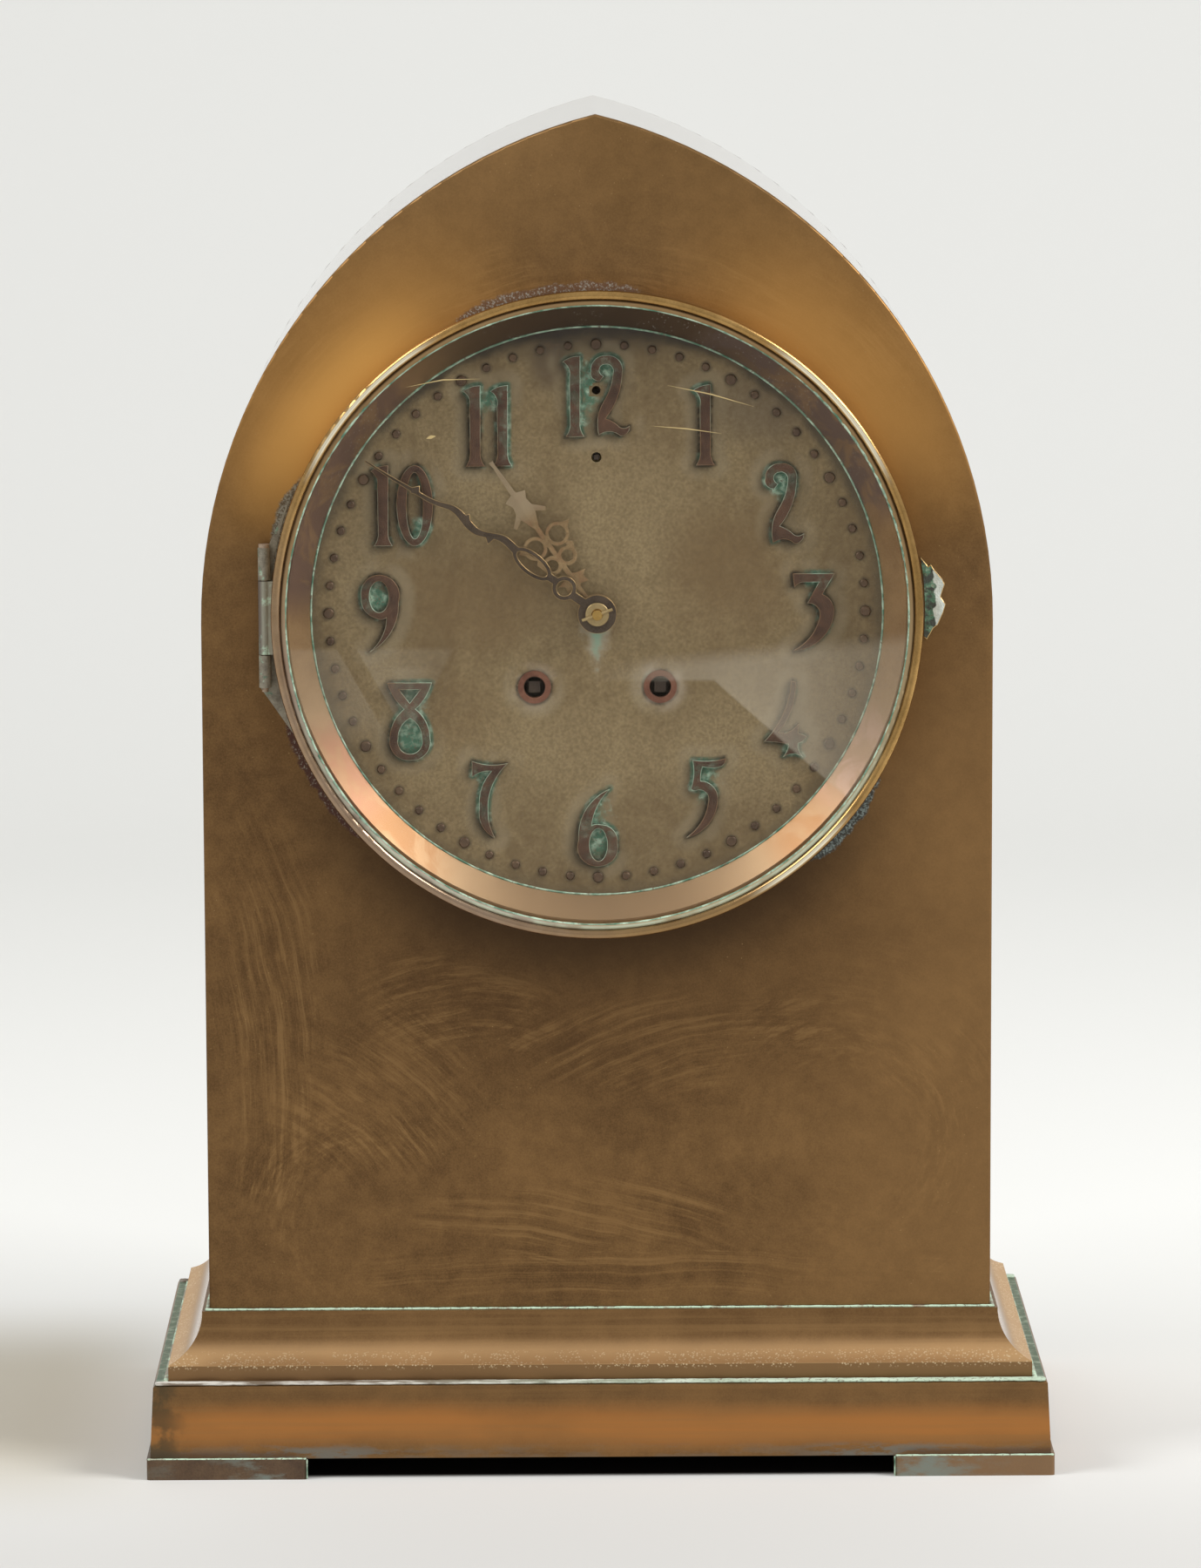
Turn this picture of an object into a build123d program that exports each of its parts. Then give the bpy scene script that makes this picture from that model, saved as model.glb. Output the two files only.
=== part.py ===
from build123d import *
import math
import os

# A brass mantel clock with a pointed arch: hollow base, sheet case, hinged bezel, applied numerals
# and an eight-day movement with striking. Millimetres; +Z is up and the dial faces -Y.
os.makedirs("parts", exist_ok=True)

# Case
case_width = 220.0
case_depth = 105.0
case_height = 380.0
arch_rise = 141.0
case_sheet = 2.6
front_sheet = 2.2
back_sheet = 2.2
edge_round = 0.7

# Base tiers, each projection measured out from the case wall
foot_height = 5.8
foot_length = 45.0
foot_depth = 38.0
foot_projection = 17.3
plinth_top_z = 26.75
plinth_projection = 15.3
plinth_batter = 1.0
cove_fillet_z = 31.3
cove_projection = 11.2
cove_ledge = 2.0
cove_top_z = 44.8
base_wall = 4.0
deck = 3.0
bolt_radius = 2.5
bolt_inset_x = 30.0
bolt_inset_y = 20.0

# Dial and bezel
dial_z = 242.0
dial_sight_radius = 79.6
dial_plate_radius = 89.0
dial_sheet = 1.5
opening_radius = 84.0
surround_collar = 87.2
surround_front = 4.6
surround_mouth = 85.6
bezel_radius = 90.3
bezel_lip_radius = 86.0
bezel_skirt = 1.5
bezel_gap = 0.5
bezel_front = 9.9
glass_sheet = 2.0
glass_back = 5.8
numeral_circle = 60.3
numeral_height = 22.4
numeral_relief = 1.8
stud_circle = 74.6
stud_radius = 1.15
hour_stud_radius = 1.5
stud_relief = 1.0
collar_radius = 4.6
collar_bore = 3.0
collar_relief = 0.5
regulator_rise = 43.2
peep_rise = 61.8
peep_radius = 1.2

# Hands
minute_turn = 303.9
hour_turn = 325.3
minute_length = 77.0
hour_length = 51.4
hand_sheet = 0.7
hour_hand_lift = 2.6
minute_hand_lift = 4.4

# Hinges
hinge_x = 92.2
hinge_out = 2.4
hinge_barrel = 1.7
hinge_pin = 0.9
hinge_top = 19.0
hinge_bottom = -20.0
hinge_end_knuckle = 9.0
fit = 0.05
clear = 0.3

# Rear door
rear_width = 128.0
rear_height = 196.0
rear_middle_z = 196.0
rear_lap = 5.0
rear_sheet = 2.0

# Movement
plate_radius = 50.0
plate_sheet = 2.0
dial_gap = 7.0
plate_gap = 36.0
pillar_circle = 45.5
pillar_radius = 2.5
wind_x = 17.5
wind_drop = 20.9
train_module = 0.5
fine_module = 0.4
great_teeth = 66
second_teeth = 62
strike_second_teeth = 54
centre_teeth = 80
third_teeth = 60
pin_wheel_teeth = 50
leaves = 10
fine_leaves = 8
motion_distance = 14.4
escape_rise = 24.5
escape_teeth = 60
escape_radius = 8.6
pallet_rise = 36.5
pendulum_length = 159.0
wheel_sheet = 1.4
barrel_radius = 15.4
arbor_radius = 1.0
pivot_radius = 0.8
bell_radius = 34.0
bell_drop = 4.0
hammer_at = (-44.0, 2.0)

# Depth positions worked out from the sheets above
front_y = -case_depth / 2
back_y = case_depth / 2
back_inner_y = back_y - back_sheet
dial_y = front_y + front_sheet
dial_back_y = dial_y + dial_sheet
plate_y = dial_back_y + dial_gap
train_y = plate_y + plate_sheet
rear_plate_y = train_y + plate_gap
rear_face_y = rear_plate_y + plate_sheet
glass_y = front_y - glass_back


def upright(y, u=0.0, v=0.0):
    """A sketch plane at depth y facing the viewer, X to the right and Y up, from (u, v)."""
    return Plane(origin=(u, y, v), x_dir=(1, 0, 0), z_dir=(0, -1, 0))


def between(face, front, back, at=(0.0, 0.0), v=dial_z):
    """Extrude a face from depth back forward to depth front; at is measured from the dial centre."""
    return extrude(upright(back, at[0], v + at[1]) * face, amount=back - front, dir=(0, -1, 0))


def rod(radius, front, back, at=(0.0, 0.0)):
    return between(Circle(radius), front, back, at)


def tube(outer, inner, front, back, at=(0.0, 0.0)):
    return between(Circle(outer) - Circle(inner), front, back, at)


def turned(profile, at=(0.0, 0.0)):
    """Revolve (radius, depth) points, given as outline steps, about a line through the dial plane."""
    plane = Plane(origin=(at[0], 0, dial_z + at[1]), x_dir=(1, 0, 0), z_dir=(0, 0, 1))
    axis = Axis((at[0], 0, dial_z + at[1]), (0, 1, 0))
    return revolve(plane * profile, axis, 360)


def outline(start, *steps):
    """A closed face. A step is an end point, after one via point for an arc or two guides for a curve."""
    here = start
    edges = []
    for step in steps:
        *guides, end = step
        if not guides:
            edges.append(Line(here, end))
        elif len(guides) == 1:
            edges.append(ThreePointArc(here, guides[0], end))
        else:
            edges.append(Bezier(here, *guides, end))
        here = end
    if here != start:
        edges.append(Line(here, start))
    return make_face(edges)


def polar(radius, degrees):
    angle = math.radians(degrees)
    return (radius * math.cos(angle), radius * math.sin(angle))


def add(a, b):
    return (a[0] + b[0], a[1] + b[1])


def save(name, *solids):
    """Write one node: every solid given, each a piece of its own."""
    pieces = []
    for item in solids:
        pieces.extend(item.solids())
    shape = pieces[0] if len(pieces) == 1 else Compound(children=pieces)
    export_step(shape, f"parts/{name}.step")


# Case shell: the lancet outline, its arcs struck from centres on the springing line
arch_radius = (arch_rise**2 + (case_width / 2) ** 2) / case_width
arch_centre = arch_radius - case_width / 2
spring_z = case_height - arch_rise


def lancet(inset):
    """The pointed outline drawn in by an inset, in case coordinates."""
    half = case_width / 2 - inset
    radius = arch_radius - inset
    rise = math.sqrt(radius**2 - arch_centre**2)
    lean = math.atan2(rise, arch_centre) / 2
    reach = radius * math.cos(lean) - arch_centre
    mid_z = spring_z + radius * math.sin(lean)
    base = cove_top_z + inset
    return outline(
        (-half, base),
        [(half, base)],
        [(half, spring_z)],
        [(reach, mid_z), (0, spring_z + rise)],
        [(-reach, mid_z), (-half, spring_z)],
    )


def bolt_places():
    x = case_width / 2 - bolt_inset_x
    y = case_depth / 2 - bolt_inset_y
    return [(sx * x, sy * y) for sx in (-1, 1) for sy in (-1, 1)]


def bolt_holes(low, high):
    holes = [Pos(x, y, low) * extrude(Circle(bolt_radius + 0.2), amount=high - low) for x, y in bolt_places()]
    return holes


def front_edges(solid, y):
    """Edges lying in the plane at depth y."""
    return solid.edges().filter_by(lambda e: abs(e.bounding_box().min.Y - y) + abs(e.bounding_box().max.Y - y) < 1e-4)


case_band = between(lancet(0) - lancet(case_sheet), dial_y, back_inner_y, v=0)
case_band -= bolt_holes(cove_top_z - 1, cove_top_z + case_sheet + 1)
save("case_band", case_band)

dial_screw_places = [polar((opening_radius + dial_plate_radius) / 2, 45 + 90 * k) for k in range(4)]
front_plate = between(lancet(0), front_y, dial_y, v=0)
front_plate = fillet(front_edges(front_plate, front_y), edge_round)
front_plate -= rod(opening_radius, front_y - 1, dial_y + 1)
for place in dial_screw_places:
    front_plate -= rod(1.2, dial_y - 1.2, dial_y + 1, place)
save("front_plate", front_plate)

rear_opening = Pos(0, rear_middle_z) * RectangleRounded(rear_width, rear_height, 8)
back_panel = between(lancet(0), back_inner_y, back_y, v=0)
back_panel = fillet(front_edges(back_panel, back_y), edge_round)
back_panel -= between(rear_opening, back_inner_y - 1, back_y + 1, v=0)
save("back_panel", back_panel)


# Base tiers: a profile drawn on the two side directions and crossed, which mitres the corners
def tier(profile):
    """Cross a right-hand profile, given from the case wall outwards, over the width and the depth."""
    spans = []
    for half, plane in ((case_width / 2, Plane.XZ), (case_depth / 2, Plane.YZ)):
        right = [tuple((half + p, z) for p, z in step) for step in profile]
        left = []
        points = [(p, z) for step in profile for p, z in step]
        face = outline((0, points[0][1]), *right, [(0, points[-1][1])])
        left = mirror(face, Plane.YZ)
        spans.append(extrude(plane * (face + left), amount=400, both=True))
    return spans[0] & spans[1]


def inner_box(inset, low, high):
    """The hollow of a tier, drawn in from the case wall by an inset (negative is outward)."""
    return Pos(0, 0, (low + high) / 2) * Box(case_width - 2 * inset, case_depth - 2 * inset, high - low)


cove_arc_mid = (cove_ledge + (cove_projection - cove_ledge) * 0.235, cove_top_z - (cove_top_z - cove_fillet_z) * 0.58)
cove_moulding = tier(
    [
        [(cove_projection, plinth_top_z)],
        [(cove_projection, cove_fillet_z)],
        [cove_arc_mid, (cove_ledge, cove_top_z)],
    ]
)
cove_moulding -= inner_box(base_wall, plinth_top_z - 1, cove_top_z - deck)
cove_moulding -= bolt_holes(plinth_top_z, cove_top_z + 1)
save("cove_moulding", cove_moulding)

plinth = tier(
    [
        [(plinth_projection + plinth_batter, foot_height)],
        [(plinth_projection, plinth_top_z - edge_round)],
        [(plinth_projection - edge_round, plinth_top_z)],
    ]
)
plinth -= inner_box(base_wall - plinth_projection, foot_height - 1, plinth_top_z - deck)
plinth -= bolt_holes(foot_height, plinth_top_z + 1)
save("plinth", plinth)

feet = []
foot_x = case_width / 2 + foot_projection - foot_length / 2
foot_y = case_depth / 2 + foot_projection - foot_depth / 2
for sx in (-1, 1):
    for sy in (-1, 1):
        block = Pos(sx * foot_x, sy * foot_y, foot_height / 2) * Box(foot_length, foot_depth, foot_height)
        feet.append(fillet(block.edges().filter_by(Axis.Z), 1.2))
save("feet", *feet)

bolts = []
bolt_low = plinth_top_z - deck
bolt_high = cove_top_z + case_sheet
nut_height = 4.0
for x, y in bolt_places():
    shank = Pos(x, y, bolt_low) * extrude(Circle(bolt_radius), amount=bolt_high - bolt_low + nut_height + 2)
    head = Pos(x, y, bolt_low - 3) * extrude(RegularPolygon(4.4, 6), amount=3)
    nut = Pos(x, y, bolt_high) * extrude(RegularPolygon(4.4, 6) - Circle(bolt_radius), amount=nut_height)
    bolts.extend([shank + head, nut])
save("base_bolts_and_nuts", *bolts)

# Dial surround: a conical copper-toned reveal standing in the opening
surround = outline(
    (dial_sight_radius, dial_y),
    [(opening_radius, dial_y)],
    [(opening_radius, front_y)],
    [(surround_collar, front_y)],
    [(surround_collar, front_y - surround_front)],
    [(surround_mouth, front_y - surround_front)],
)
save("reveal_ring", turned(surround))

# Dial plate with its holes, screwed to the back of the front plate
wind_places = [(wind_x, -wind_drop), (-wind_x, -wind_drop)]
foot_places = [polar(44.5, a) for a in (60, 120, 240, 300)]
collar_neck = collar_radius - 0.8
hour_pipe_radius = 3.4
dial_plate = rod(dial_plate_radius, dial_y, dial_back_y)
dial_plate -= rod(hour_pipe_radius + 0.6, dial_y - 1, dial_back_y + 1)
for place in wind_places:
    dial_plate -= rod(collar_neck, dial_y - 1, dial_back_y + 1, place)
dial_plate -= rod(1.4, dial_y - 1, dial_back_y + 1, (0, regulator_rise))
dial_plate -= rod(peep_radius, dial_y - 1, dial_back_y + 1, (0, peep_rise))
for place in dial_screw_places:
    dial_plate -= rod(1.2, dial_y - 1, dial_back_y + 1, place)
save("dial_plate", dial_plate)

screws = []
for place in dial_screw_places:
    screws.append(rod(1.2, dial_y - 1.2, dial_back_y, place) + rod(2.2, dial_back_y, dial_back_y + 1.4, place))
save("dial_screws", *screws)

collars = []
for place in wind_places:
    ring = tube(collar_radius, collar_bore, dial_y - collar_relief, dial_y, place)
    collars.append(ring + tube(collar_neck, collar_bore, dial_y, dial_back_y, place))
save("winding_collars", *collars)

studs = []
for k in range(60):
    radius = hour_stud_radius if k % 5 == 0 else stud_radius
    place = polar(stud_circle, 6 * k)
    studs.append(fillet(front_edges(rod(radius, dial_y - stud_relief, dial_y, place), dial_y - stud_relief), 0.5))
save("minute_studs", *studs)


# Hour numerals: upright figures with flared feet, drawn on a 22.4 mm grid about their own middle
def figure_1():
    return outline(
        (1.5, 11.2),
        [(-0.9, 10.9), (-3.4, 9.6)],
        [(-1.9, 8.2), (-1.5, 5.4)],
        [(-1.4, -7.2)],
        [(-1.7, -9.6), (-2.6, -11.2)],
        [(2.6, -11.2)],
        [(1.7, -9.6), (1.4, -7.2)],
    )


def figure_2():
    return outline(
        (-2.9, 4.3),
        [(-4.6, 4.6), (-5.5, 7.0)],
        [(-4.4, 10.1), (-1.2, 11.3)],
        [(2.2, 10.1), (3.2, 6.4)],
        [(1.9, -0.3), (-1.5, -6.2)],
        [(0.6, -7.1), (2.4, -8.6)],
        [(3.8, -8.9), (5.2, -8.2)],
        [(4.4, -10.4), (2.6, -11.0)],
        [(-0.4, -9.8), (-3.3, -10.8)],
        [(-3.7, -7.0), (-1.9, -1.4)],
        [(0.2, 3.4), (0.7, 6.7)],
        [(0.1, 8.4), (-1.6, 8.8)],
        [(-3.0, 7.9), (-3.0, 6.6)],
        [(-2.6, 6.0), (-1.9, 5.6)],
    )


def figure_3():
    return outline(
        (-5.9, 10.7),
        [(5.7, 10.7)],
        [(2.2, 4.9)],
        [(4.9, 2.6), (5.4, -0.9)],
        [(2.2, -7.4), (-5.8, -10.8)],
        [(-0.6, -6.4), (1.6, -1.2)],
        [(0.8, 1.4), (-1.9, 2.4)],
        [(1.3, 8.3)],
        [(-2.6, 8.3)],
        [(-4.4, 7.9), (-5.5, 6.9)],
    )


def figure_4():
    return outline(
        (1.7, 10.8),
        [(0.3, 3.6), (-5.9, -6.2)],
        [(-2.0, -6.4), (0.9, -7.0)],
        [(0.5, -8.8), (-0.7, -10.6)],
        [(2.3, -9.7), (5.0, -10.5)],
        [(3.8, -8.7), (3.6, -6.7)],
        [(4.9, -6.1), (6.0, -4.8)],
        [(4.7, -4.3), (3.6, -3.9)],
        [(3.7, -1.2)],
        [(1.8, -3.1), (0.0, -3.9)],
        [(-1.7, -3.6)],
        [(2.2, 4.2), (2.9, 10.6)],
    )


def figure_5():
    return outline(
        (-3.8, 10.8),
        [(0.8, 10.5), (5.5, 11.2)],
        [(5.3, 10.1), (4.6, 9.1)],
        [(1.8, 8.5), (-0.9, 8.9)],
        [(-1.4, 7.0), (-1.5, 4.9)],
        [(2.2, 3.1), (3.2, -1.0)],
        [(0.8, -7.2), (-5.6, -11.1)],
        [(-1.1, -6.4), (0.7, -0.9)],
        [(0.0, 1.6), (-2.4, 2.3)],
        [(-3.6, 2.2), (-4.2, 2.8)],
        [(-3.4, 6.6), (-3.8, 10.8)],
    )


def figure_6():
    body = outline(
        (3.5, 10.9),
        [(-3.4, 5.0), (-5.4, -3.6)],
        [(-4.2, -9.3), (0.0, -11.0)],
        [(4.2, -9.2), (5.4, -4.6)],
        [(3.9, -0.4), (0.7, 0.8)],
        [(-0.7, 0.9), (-1.8, 0.5)],
        [(-0.2, 5.9), (3.5, 10.9)],
    )
    return body - Pos(0.1, -4.9) * Ellipse(2.5, 4.6)


def figure_7():
    return outline(
        (-4.9, 10.8),
        [(-0.2, 9.7), (5.2, 10.2)],
        [(0.5, 3.2), (-0.5, -3.0)],
        [(-0.1, -7.0), (1.4, -10.9)],
        [(-2.2, -7.4), (-2.9, -2.4)],
        [(-2.2, 3.4), (0.5, 7.9)],
        [(-2.6, 7.6), (-4.9, 6.3)],
    )


def figure_8():
    body = outline(
        (-6.2, 10.8),
        [(6.2, 10.8)],
        [(4.3, 6.6), (1.6, 3.4)],
        [(4.7, -0.6), (5.6, -4.8)],
        [(4.3, -9.3), (0.0, -11.0)],
        [(-4.3, -9.3), (-5.6, -4.8)],
        [(-4.7, -0.6), (-1.6, 3.4)],
        [(-4.3, 6.6), (-6.2, 10.8)],
    )
    eye = outline((-3.0, 8.9), [(3.0, 8.9)], [(0.0, 5.1)])
    drop = outline((0.0, 0.9), [(2.7, -2.0), (3.3, -5.0)], [(0.0, -9.2), (-3.3, -5.0)], [(-2.7, -2.0), (0.0, 0.9)])
    return body - eye - drop


def figure_9():
    body = outline(
        (-3.3, -10.9),
        [(2.9, -5.4), (5.2, 3.4)],
        [(4.0, 9.0), (0.2, 10.9)],
        [(-3.9, 9.2), (-5.2, 4.6)],
        [(-3.8, 0.4), (-1.0, -1.2)],
        [(0.4, -1.6), (1.8, -1.0)],
        [(0.7, -6.0), (-3.3, -10.9)],
    )
    return body - Pos(-0.2, 4.8) * Ellipse(2.7, 4.4)


def figure_0():
    return Ellipse(5.0, 11.2) - Ellipse(2.35, 9.2)


figures = [figure_0, figure_1, figure_2, figure_3, figure_4, figure_5, figure_6, figure_7, figure_8, figure_9]
pair_shift = {10: (-7.0, 1.8), 11: (-3.4, 4.2), 12: (-5.9, 4.0)}
grid_scale = numeral_height / 22.4
numerals = []
for hour in range(1, 13):
    centre = polar(numeral_circle, 90 - 30 * hour)
    digits = [int(c) for c in str(hour)]
    shifts = pair_shift.get(hour, (0.0,))
    for digit, shift in zip(digits, shifts):
        face = scale(figures[digit](), by=grid_scale)
        numerals.append(between(face, dial_y - numeral_relief, dial_y, add(centre, (shift * grid_scale, 0))))
save("hour_numerals", *numerals)

# Bezel: a ring with two beads that carries the glass, hinged on the left
skirt_inner = bezel_radius - 0.6 - bezel_skirt
lip_back = glass_y - glass_sheet
bead = 1.3
bezel_face_y = front_y - bezel_front
bezel_profile = outline(
    (skirt_inner, front_y - bezel_gap),
    [(bezel_radius - 0.6, front_y - bezel_gap)],
    [(bezel_radius - 0.6, front_y - bezel_front * 0.5)],
    [(bezel_radius - 0.5, bezel_face_y + 2.6), (bezel_radius, bezel_face_y + bead)],
    [(bezel_radius - bead, bezel_face_y), (bezel_radius - 2 * bead, bezel_face_y + bead)],
    [(bezel_lip_radius + 0.9, bezel_face_y + 0.6), (bezel_lip_radius, bezel_face_y + bead)],
    [(bezel_lip_radius, lip_back)],
    [(skirt_inner, lip_back)],
)
save("bezel_ring", turned(bezel_profile))
save("bezel_glass", rod(skirt_inner - 0.1, lip_back, glass_y))
save("glass_retainer", tube(skirt_inner, bezel_lip_radius + 0.2, glass_y, glass_y + 0.7))

# Bezel hinge: two knuckles on the case leaf, one on the bezel, and a pin with a round head
hinge_y = front_y - hinge_out


leaf_sheet = 0.4
leaf_end = polar(bezel_radius + bezel_gap, 180 - 22)
leaf_face = outline(
    leaf_end,
    [(-hinge_x - hinge_barrel, hinge_top - 6)],
    [(-hinge_x - hinge_barrel, hinge_bottom)],
    [(leaf_end[0], -leaf_end[1])],
    [(-bezel_radius - bezel_gap, 0.0), leaf_end],
)
hinge_leaf = between(leaf_face, front_y - leaf_sheet, front_y)
for low in (hinge_bottom, hinge_top - hinge_end_knuckle):
    high = low + hinge_end_knuckle
    web = Pos(-hinge_x, front_y - hinge_out / 2, dial_z + (low + high) / 2)
    web = web * Box(hinge_barrel, hinge_out, high - low)
    hinge_leaf += web
    hinge_leaf += Pos(-hinge_x, hinge_y, dial_z + low) * extrude(Circle(hinge_barrel), amount=high - low)
hinge_leaf -= Pos(-hinge_x, hinge_y, dial_z) * Cylinder(hinge_pin + fit, 200)
save("bezel_hinge_leaf", hinge_leaf)

pin_low = hinge_bottom - 1.2
pin = Pos(-hinge_x, hinge_y, dial_z + pin_low) * extrude(Circle(hinge_pin), amount=hinge_top - pin_low)
pin += Pos(-hinge_x, hinge_y, dial_z + hinge_top) * extrude(Circle(hinge_barrel - 0.2), amount=1.0)
save("bezel_hinge_pin", pin)

knuckle_low = hinge_bottom + hinge_end_knuckle + clear
knuckle_high = hinge_top - hinge_end_knuckle - clear
knuckle = Pos(-hinge_x, hinge_y, dial_z + knuckle_low) * extrude(Circle(hinge_barrel), amount=knuckle_high - knuckle_low)
saddle_in = 7.0
saddle = Pos(-hinge_x + saddle_in / 2, hinge_y, dial_z + (knuckle_low + knuckle_high) / 2)
knuckle += saddle * Box(saddle_in, hinge_barrel * 1.6, knuckle_high - knuckle_low)
knuckle -= rod(bezel_radius - 0.6, hinge_y - 10, hinge_y + 10)
knuckle -= Pos(-hinge_x, hinge_y, dial_z) * Cylinder(hinge_pin + fit, 200)
save("bezel_hinge_knuckle", knuckle)

# Catch: a torn plate on the right, with a ragged outer edge and an inner edge that follows the bezel
torn_edge = [
    (91.9, 12.7), (92.6, 13.3), (93.6, 11.7), (95.9, 9.0), (96.5, 7.6), (95.4, 4.2),
    (96.8, 2.1), (96.1, -0.2), (94.6, -3.7), (93.4, -4.6), (91.6, -7.8),
]
catch_gap = 0.7
catch_top = (bezel_radius - 0.6, 15.4)
catch_face = outline(
    catch_top,
    *[[point] for point in torn_edge],
    [(bezel_radius + 0.4, -7.1)],
    [(bezel_radius + catch_gap, 0.0), catch_top],
)
save("catch_plate", between(catch_face, front_y - 0.9, front_y))

# Rear door on a pin hinge, with a turning latch
rear_out = 2.2
rear_half = rear_width / 2 + rear_lap
rear_hinge_x = rear_half + 2.4
rear_hinge_y = back_y + rear_out
rear_door_y = back_y + clear
rear_low = rear_middle_z - rear_height / 2 - rear_lap
rear_high = rear_middle_z + rear_height / 2 + rear_lap
rear_knuckles = [(rear_low + 20, rear_low + 50), (rear_high - 50, rear_high - 20)]
door_face = Pos(0, rear_middle_z) * RectangleRounded(2 * rear_half, rear_high - rear_low, 6)
rear_door = between(door_face, rear_door_y, rear_door_y + rear_sheet, v=0)
latch_x = rear_width / 2 - 6
latch_at = (latch_x, rear_middle_z - dial_z)
rear_door -= rod(2.0 + fit, rear_door_y - 1, rear_door_y + rear_sheet + 1, latch_at)
leaf_solids = []
rear_pins = []
for low, high in rear_knuckles:
    third = (high - low) / 3
    middle = Pos(-rear_hinge_x, rear_hinge_y, low + third + clear)
    lug = Pos(-rear_hinge_x + 2.6, rear_door_y + rear_sheet / 2, (low + high) / 2)
    rear_door += middle * extrude(Circle(1.6), amount=third - 2 * clear)
    rear_door += lug * Box(5.2, rear_sheet, third - 2 * clear)
    rear_door -= Pos(-rear_hinge_x, rear_hinge_y, (low + high) / 2) * Cylinder(hinge_pin + fit, 60)
    leaf = Pos(-rear_hinge_x - 4, back_y + 0.3, (low + high) / 2) * Box(9.0, 0.6, high - low)
    for start in (low, high - third):
        leaf += Pos(-rear_hinge_x, rear_hinge_y, start) * extrude(Circle(1.6), amount=third)
        leaf += Pos(-rear_hinge_x - 0.6, back_y + rear_out / 2, start + third / 2) * Box(1.8, rear_out, third)
    gap = Pos(-rear_hinge_x + 2, rear_hinge_y, (low + high) / 2) * Box(8.0, 2 * rear_out + 1, third)
    leaf -= gap
    leaf -= Pos(-rear_hinge_x, rear_hinge_y, (low + high) / 2) * Cylinder(hinge_pin + fit, 60)
    leaf_solids.append(leaf)
    pin = Pos(-rear_hinge_x, rear_hinge_y, low - 1) * extrude(Circle(hinge_pin), amount=high - low + 1)
    rear_pins.append(pin + Pos(-rear_hinge_x, rear_hinge_y, high) * extrude(Circle(1.5), amount=1))
save("rear_door", rear_door)
save("rear_hinge_leaves", *leaf_solids)
save("rear_hinge_pins", *rear_pins)

knob_y = rear_door_y + rear_sheet + clear
latch = rod(2.0, back_inner_y - 2.4, knob_y, latch_at)
latch += rod(5.5, knob_y, knob_y + 6, latch_at)
cam_face = Pos(0, 5.5) * Rectangle(5, 17)
latch += between(cam_face, back_inner_y - 2.4, back_inner_y - 0.6, latch_at)
save("rear_latch", latch)


# Toothed wheels: straight-flanked teeth with play at the mesh
def toothed(teeth, module, is_pinion, phase):
    """The outline of a wheel or a pinion, with a tooth at the phase angle in degrees."""
    addendum, dedendum, share, tip = (0.5, 1.05, 0.32, 0.55) if is_pinion else (0.6, 1.1, 0.36, 0.5)
    pitch = module * teeth / 2
    step = 360 / teeth
    points = []
    for k in range(teeth):
        middle = phase + k * step
        root = share * step / 2 * 1.15
        point = share * step / 2 * tip
        points.append(polar(pitch - dedendum * module, middle - root))
        points.append(polar(pitch + addendum * module, middle - point))
        points.append(polar(pitch + addendum * module, middle + point))
        points.append(polar(pitch - dedendum * module, middle + root))
    return Polygon(*points, align=None)


def meshing_phase(phase, teeth, here, there, other_teeth):
    """The phase that puts the second wheel's gap on the first wheel's tooth along their centre line."""
    line = math.degrees(math.atan2(there[1] - here[1], there[0] - here[0]))
    step = 360 / teeth
    ahead = (phase - line) % step
    return line + 180 - ahead * teeth / other_teeth + 180 / other_teeth


def wheel(teeth, module, front, back, at, phase, hub):
    """A crossed-out wheel: toothed rim, five spokes and a hub."""
    face = toothed(teeth, module, False, phase)
    rim = module * teeth / 2 - 1.1 * module - 1.2
    spokes = Circle(hub)
    for k in range(5):
        spokes += Rot(0, 0, phase + 72 * k) * Pos(rim / 2, 0) * Rectangle(rim + 1, 1.6)
    face = face - (Circle(rim) - spokes)
    return between(face, front, back, at)


def pinion(teeth, module, front, back, at, phase):
    return between(toothed(teeth, module, True, phase), front, back, at)


def arbor(at, front=None, back=None, radius=arbor_radius):
    """A shaft between the plates with a pivot through each of them."""
    body = rod(radius, train_y + clear, rear_plate_y - clear, at)
    return body + rod(pivot_radius, front or plate_y, back or rear_face_y, at)


def met(a, reach_a, b, reach_b, side):
    """The point at two given distances from a and b, on the left (1) or right (-1) of the line a to b."""
    gap = math.dist(a, b)
    along = (reach_a**2 - reach_b**2 + gap**2) / (2 * gap)
    off = math.sqrt(reach_a**2 - along**2)
    ux, uy = (b[0] - a[0]) / gap, (b[1] - a[1]) / gap
    return (a[0] + along * ux - side * off * uy, a[1] + along * uy + side * off * ux)


# Where the arbors stand, from the dial centre
centre_at = (0.0, 0.0)
time_at, strike_at = wind_places
great_reach = train_module * (great_teeth + leaves) / 2
second_at = met(centre_at, train_module * (second_teeth + leaves) / 2, time_at, great_reach, 1)
escape_at = (0.0, escape_rise)
pallet_at = (0.0, pallet_rise)
third_reach = fine_module * (centre_teeth + fine_leaves) / 2
escape_reach = train_module * (third_teeth + fine_leaves) / 2
third_at = met(centre_at, third_reach, escape_at, escape_reach, 1)
strike_second_at = add(strike_at, polar(great_reach, 110))
pin_wheel_reach = train_module * (strike_second_teeth + fine_leaves) / 2
pin_wheel_at = add(strike_second_at, polar(pin_wheel_reach, 115))
fly_at = add(pin_wheel_at, polar(fine_module * (pin_wheel_teeth + fine_leaves) / 2, 75))
minute_at = (0.0, motion_distance)
regulator_at = (0.0, regulator_rise)


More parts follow.
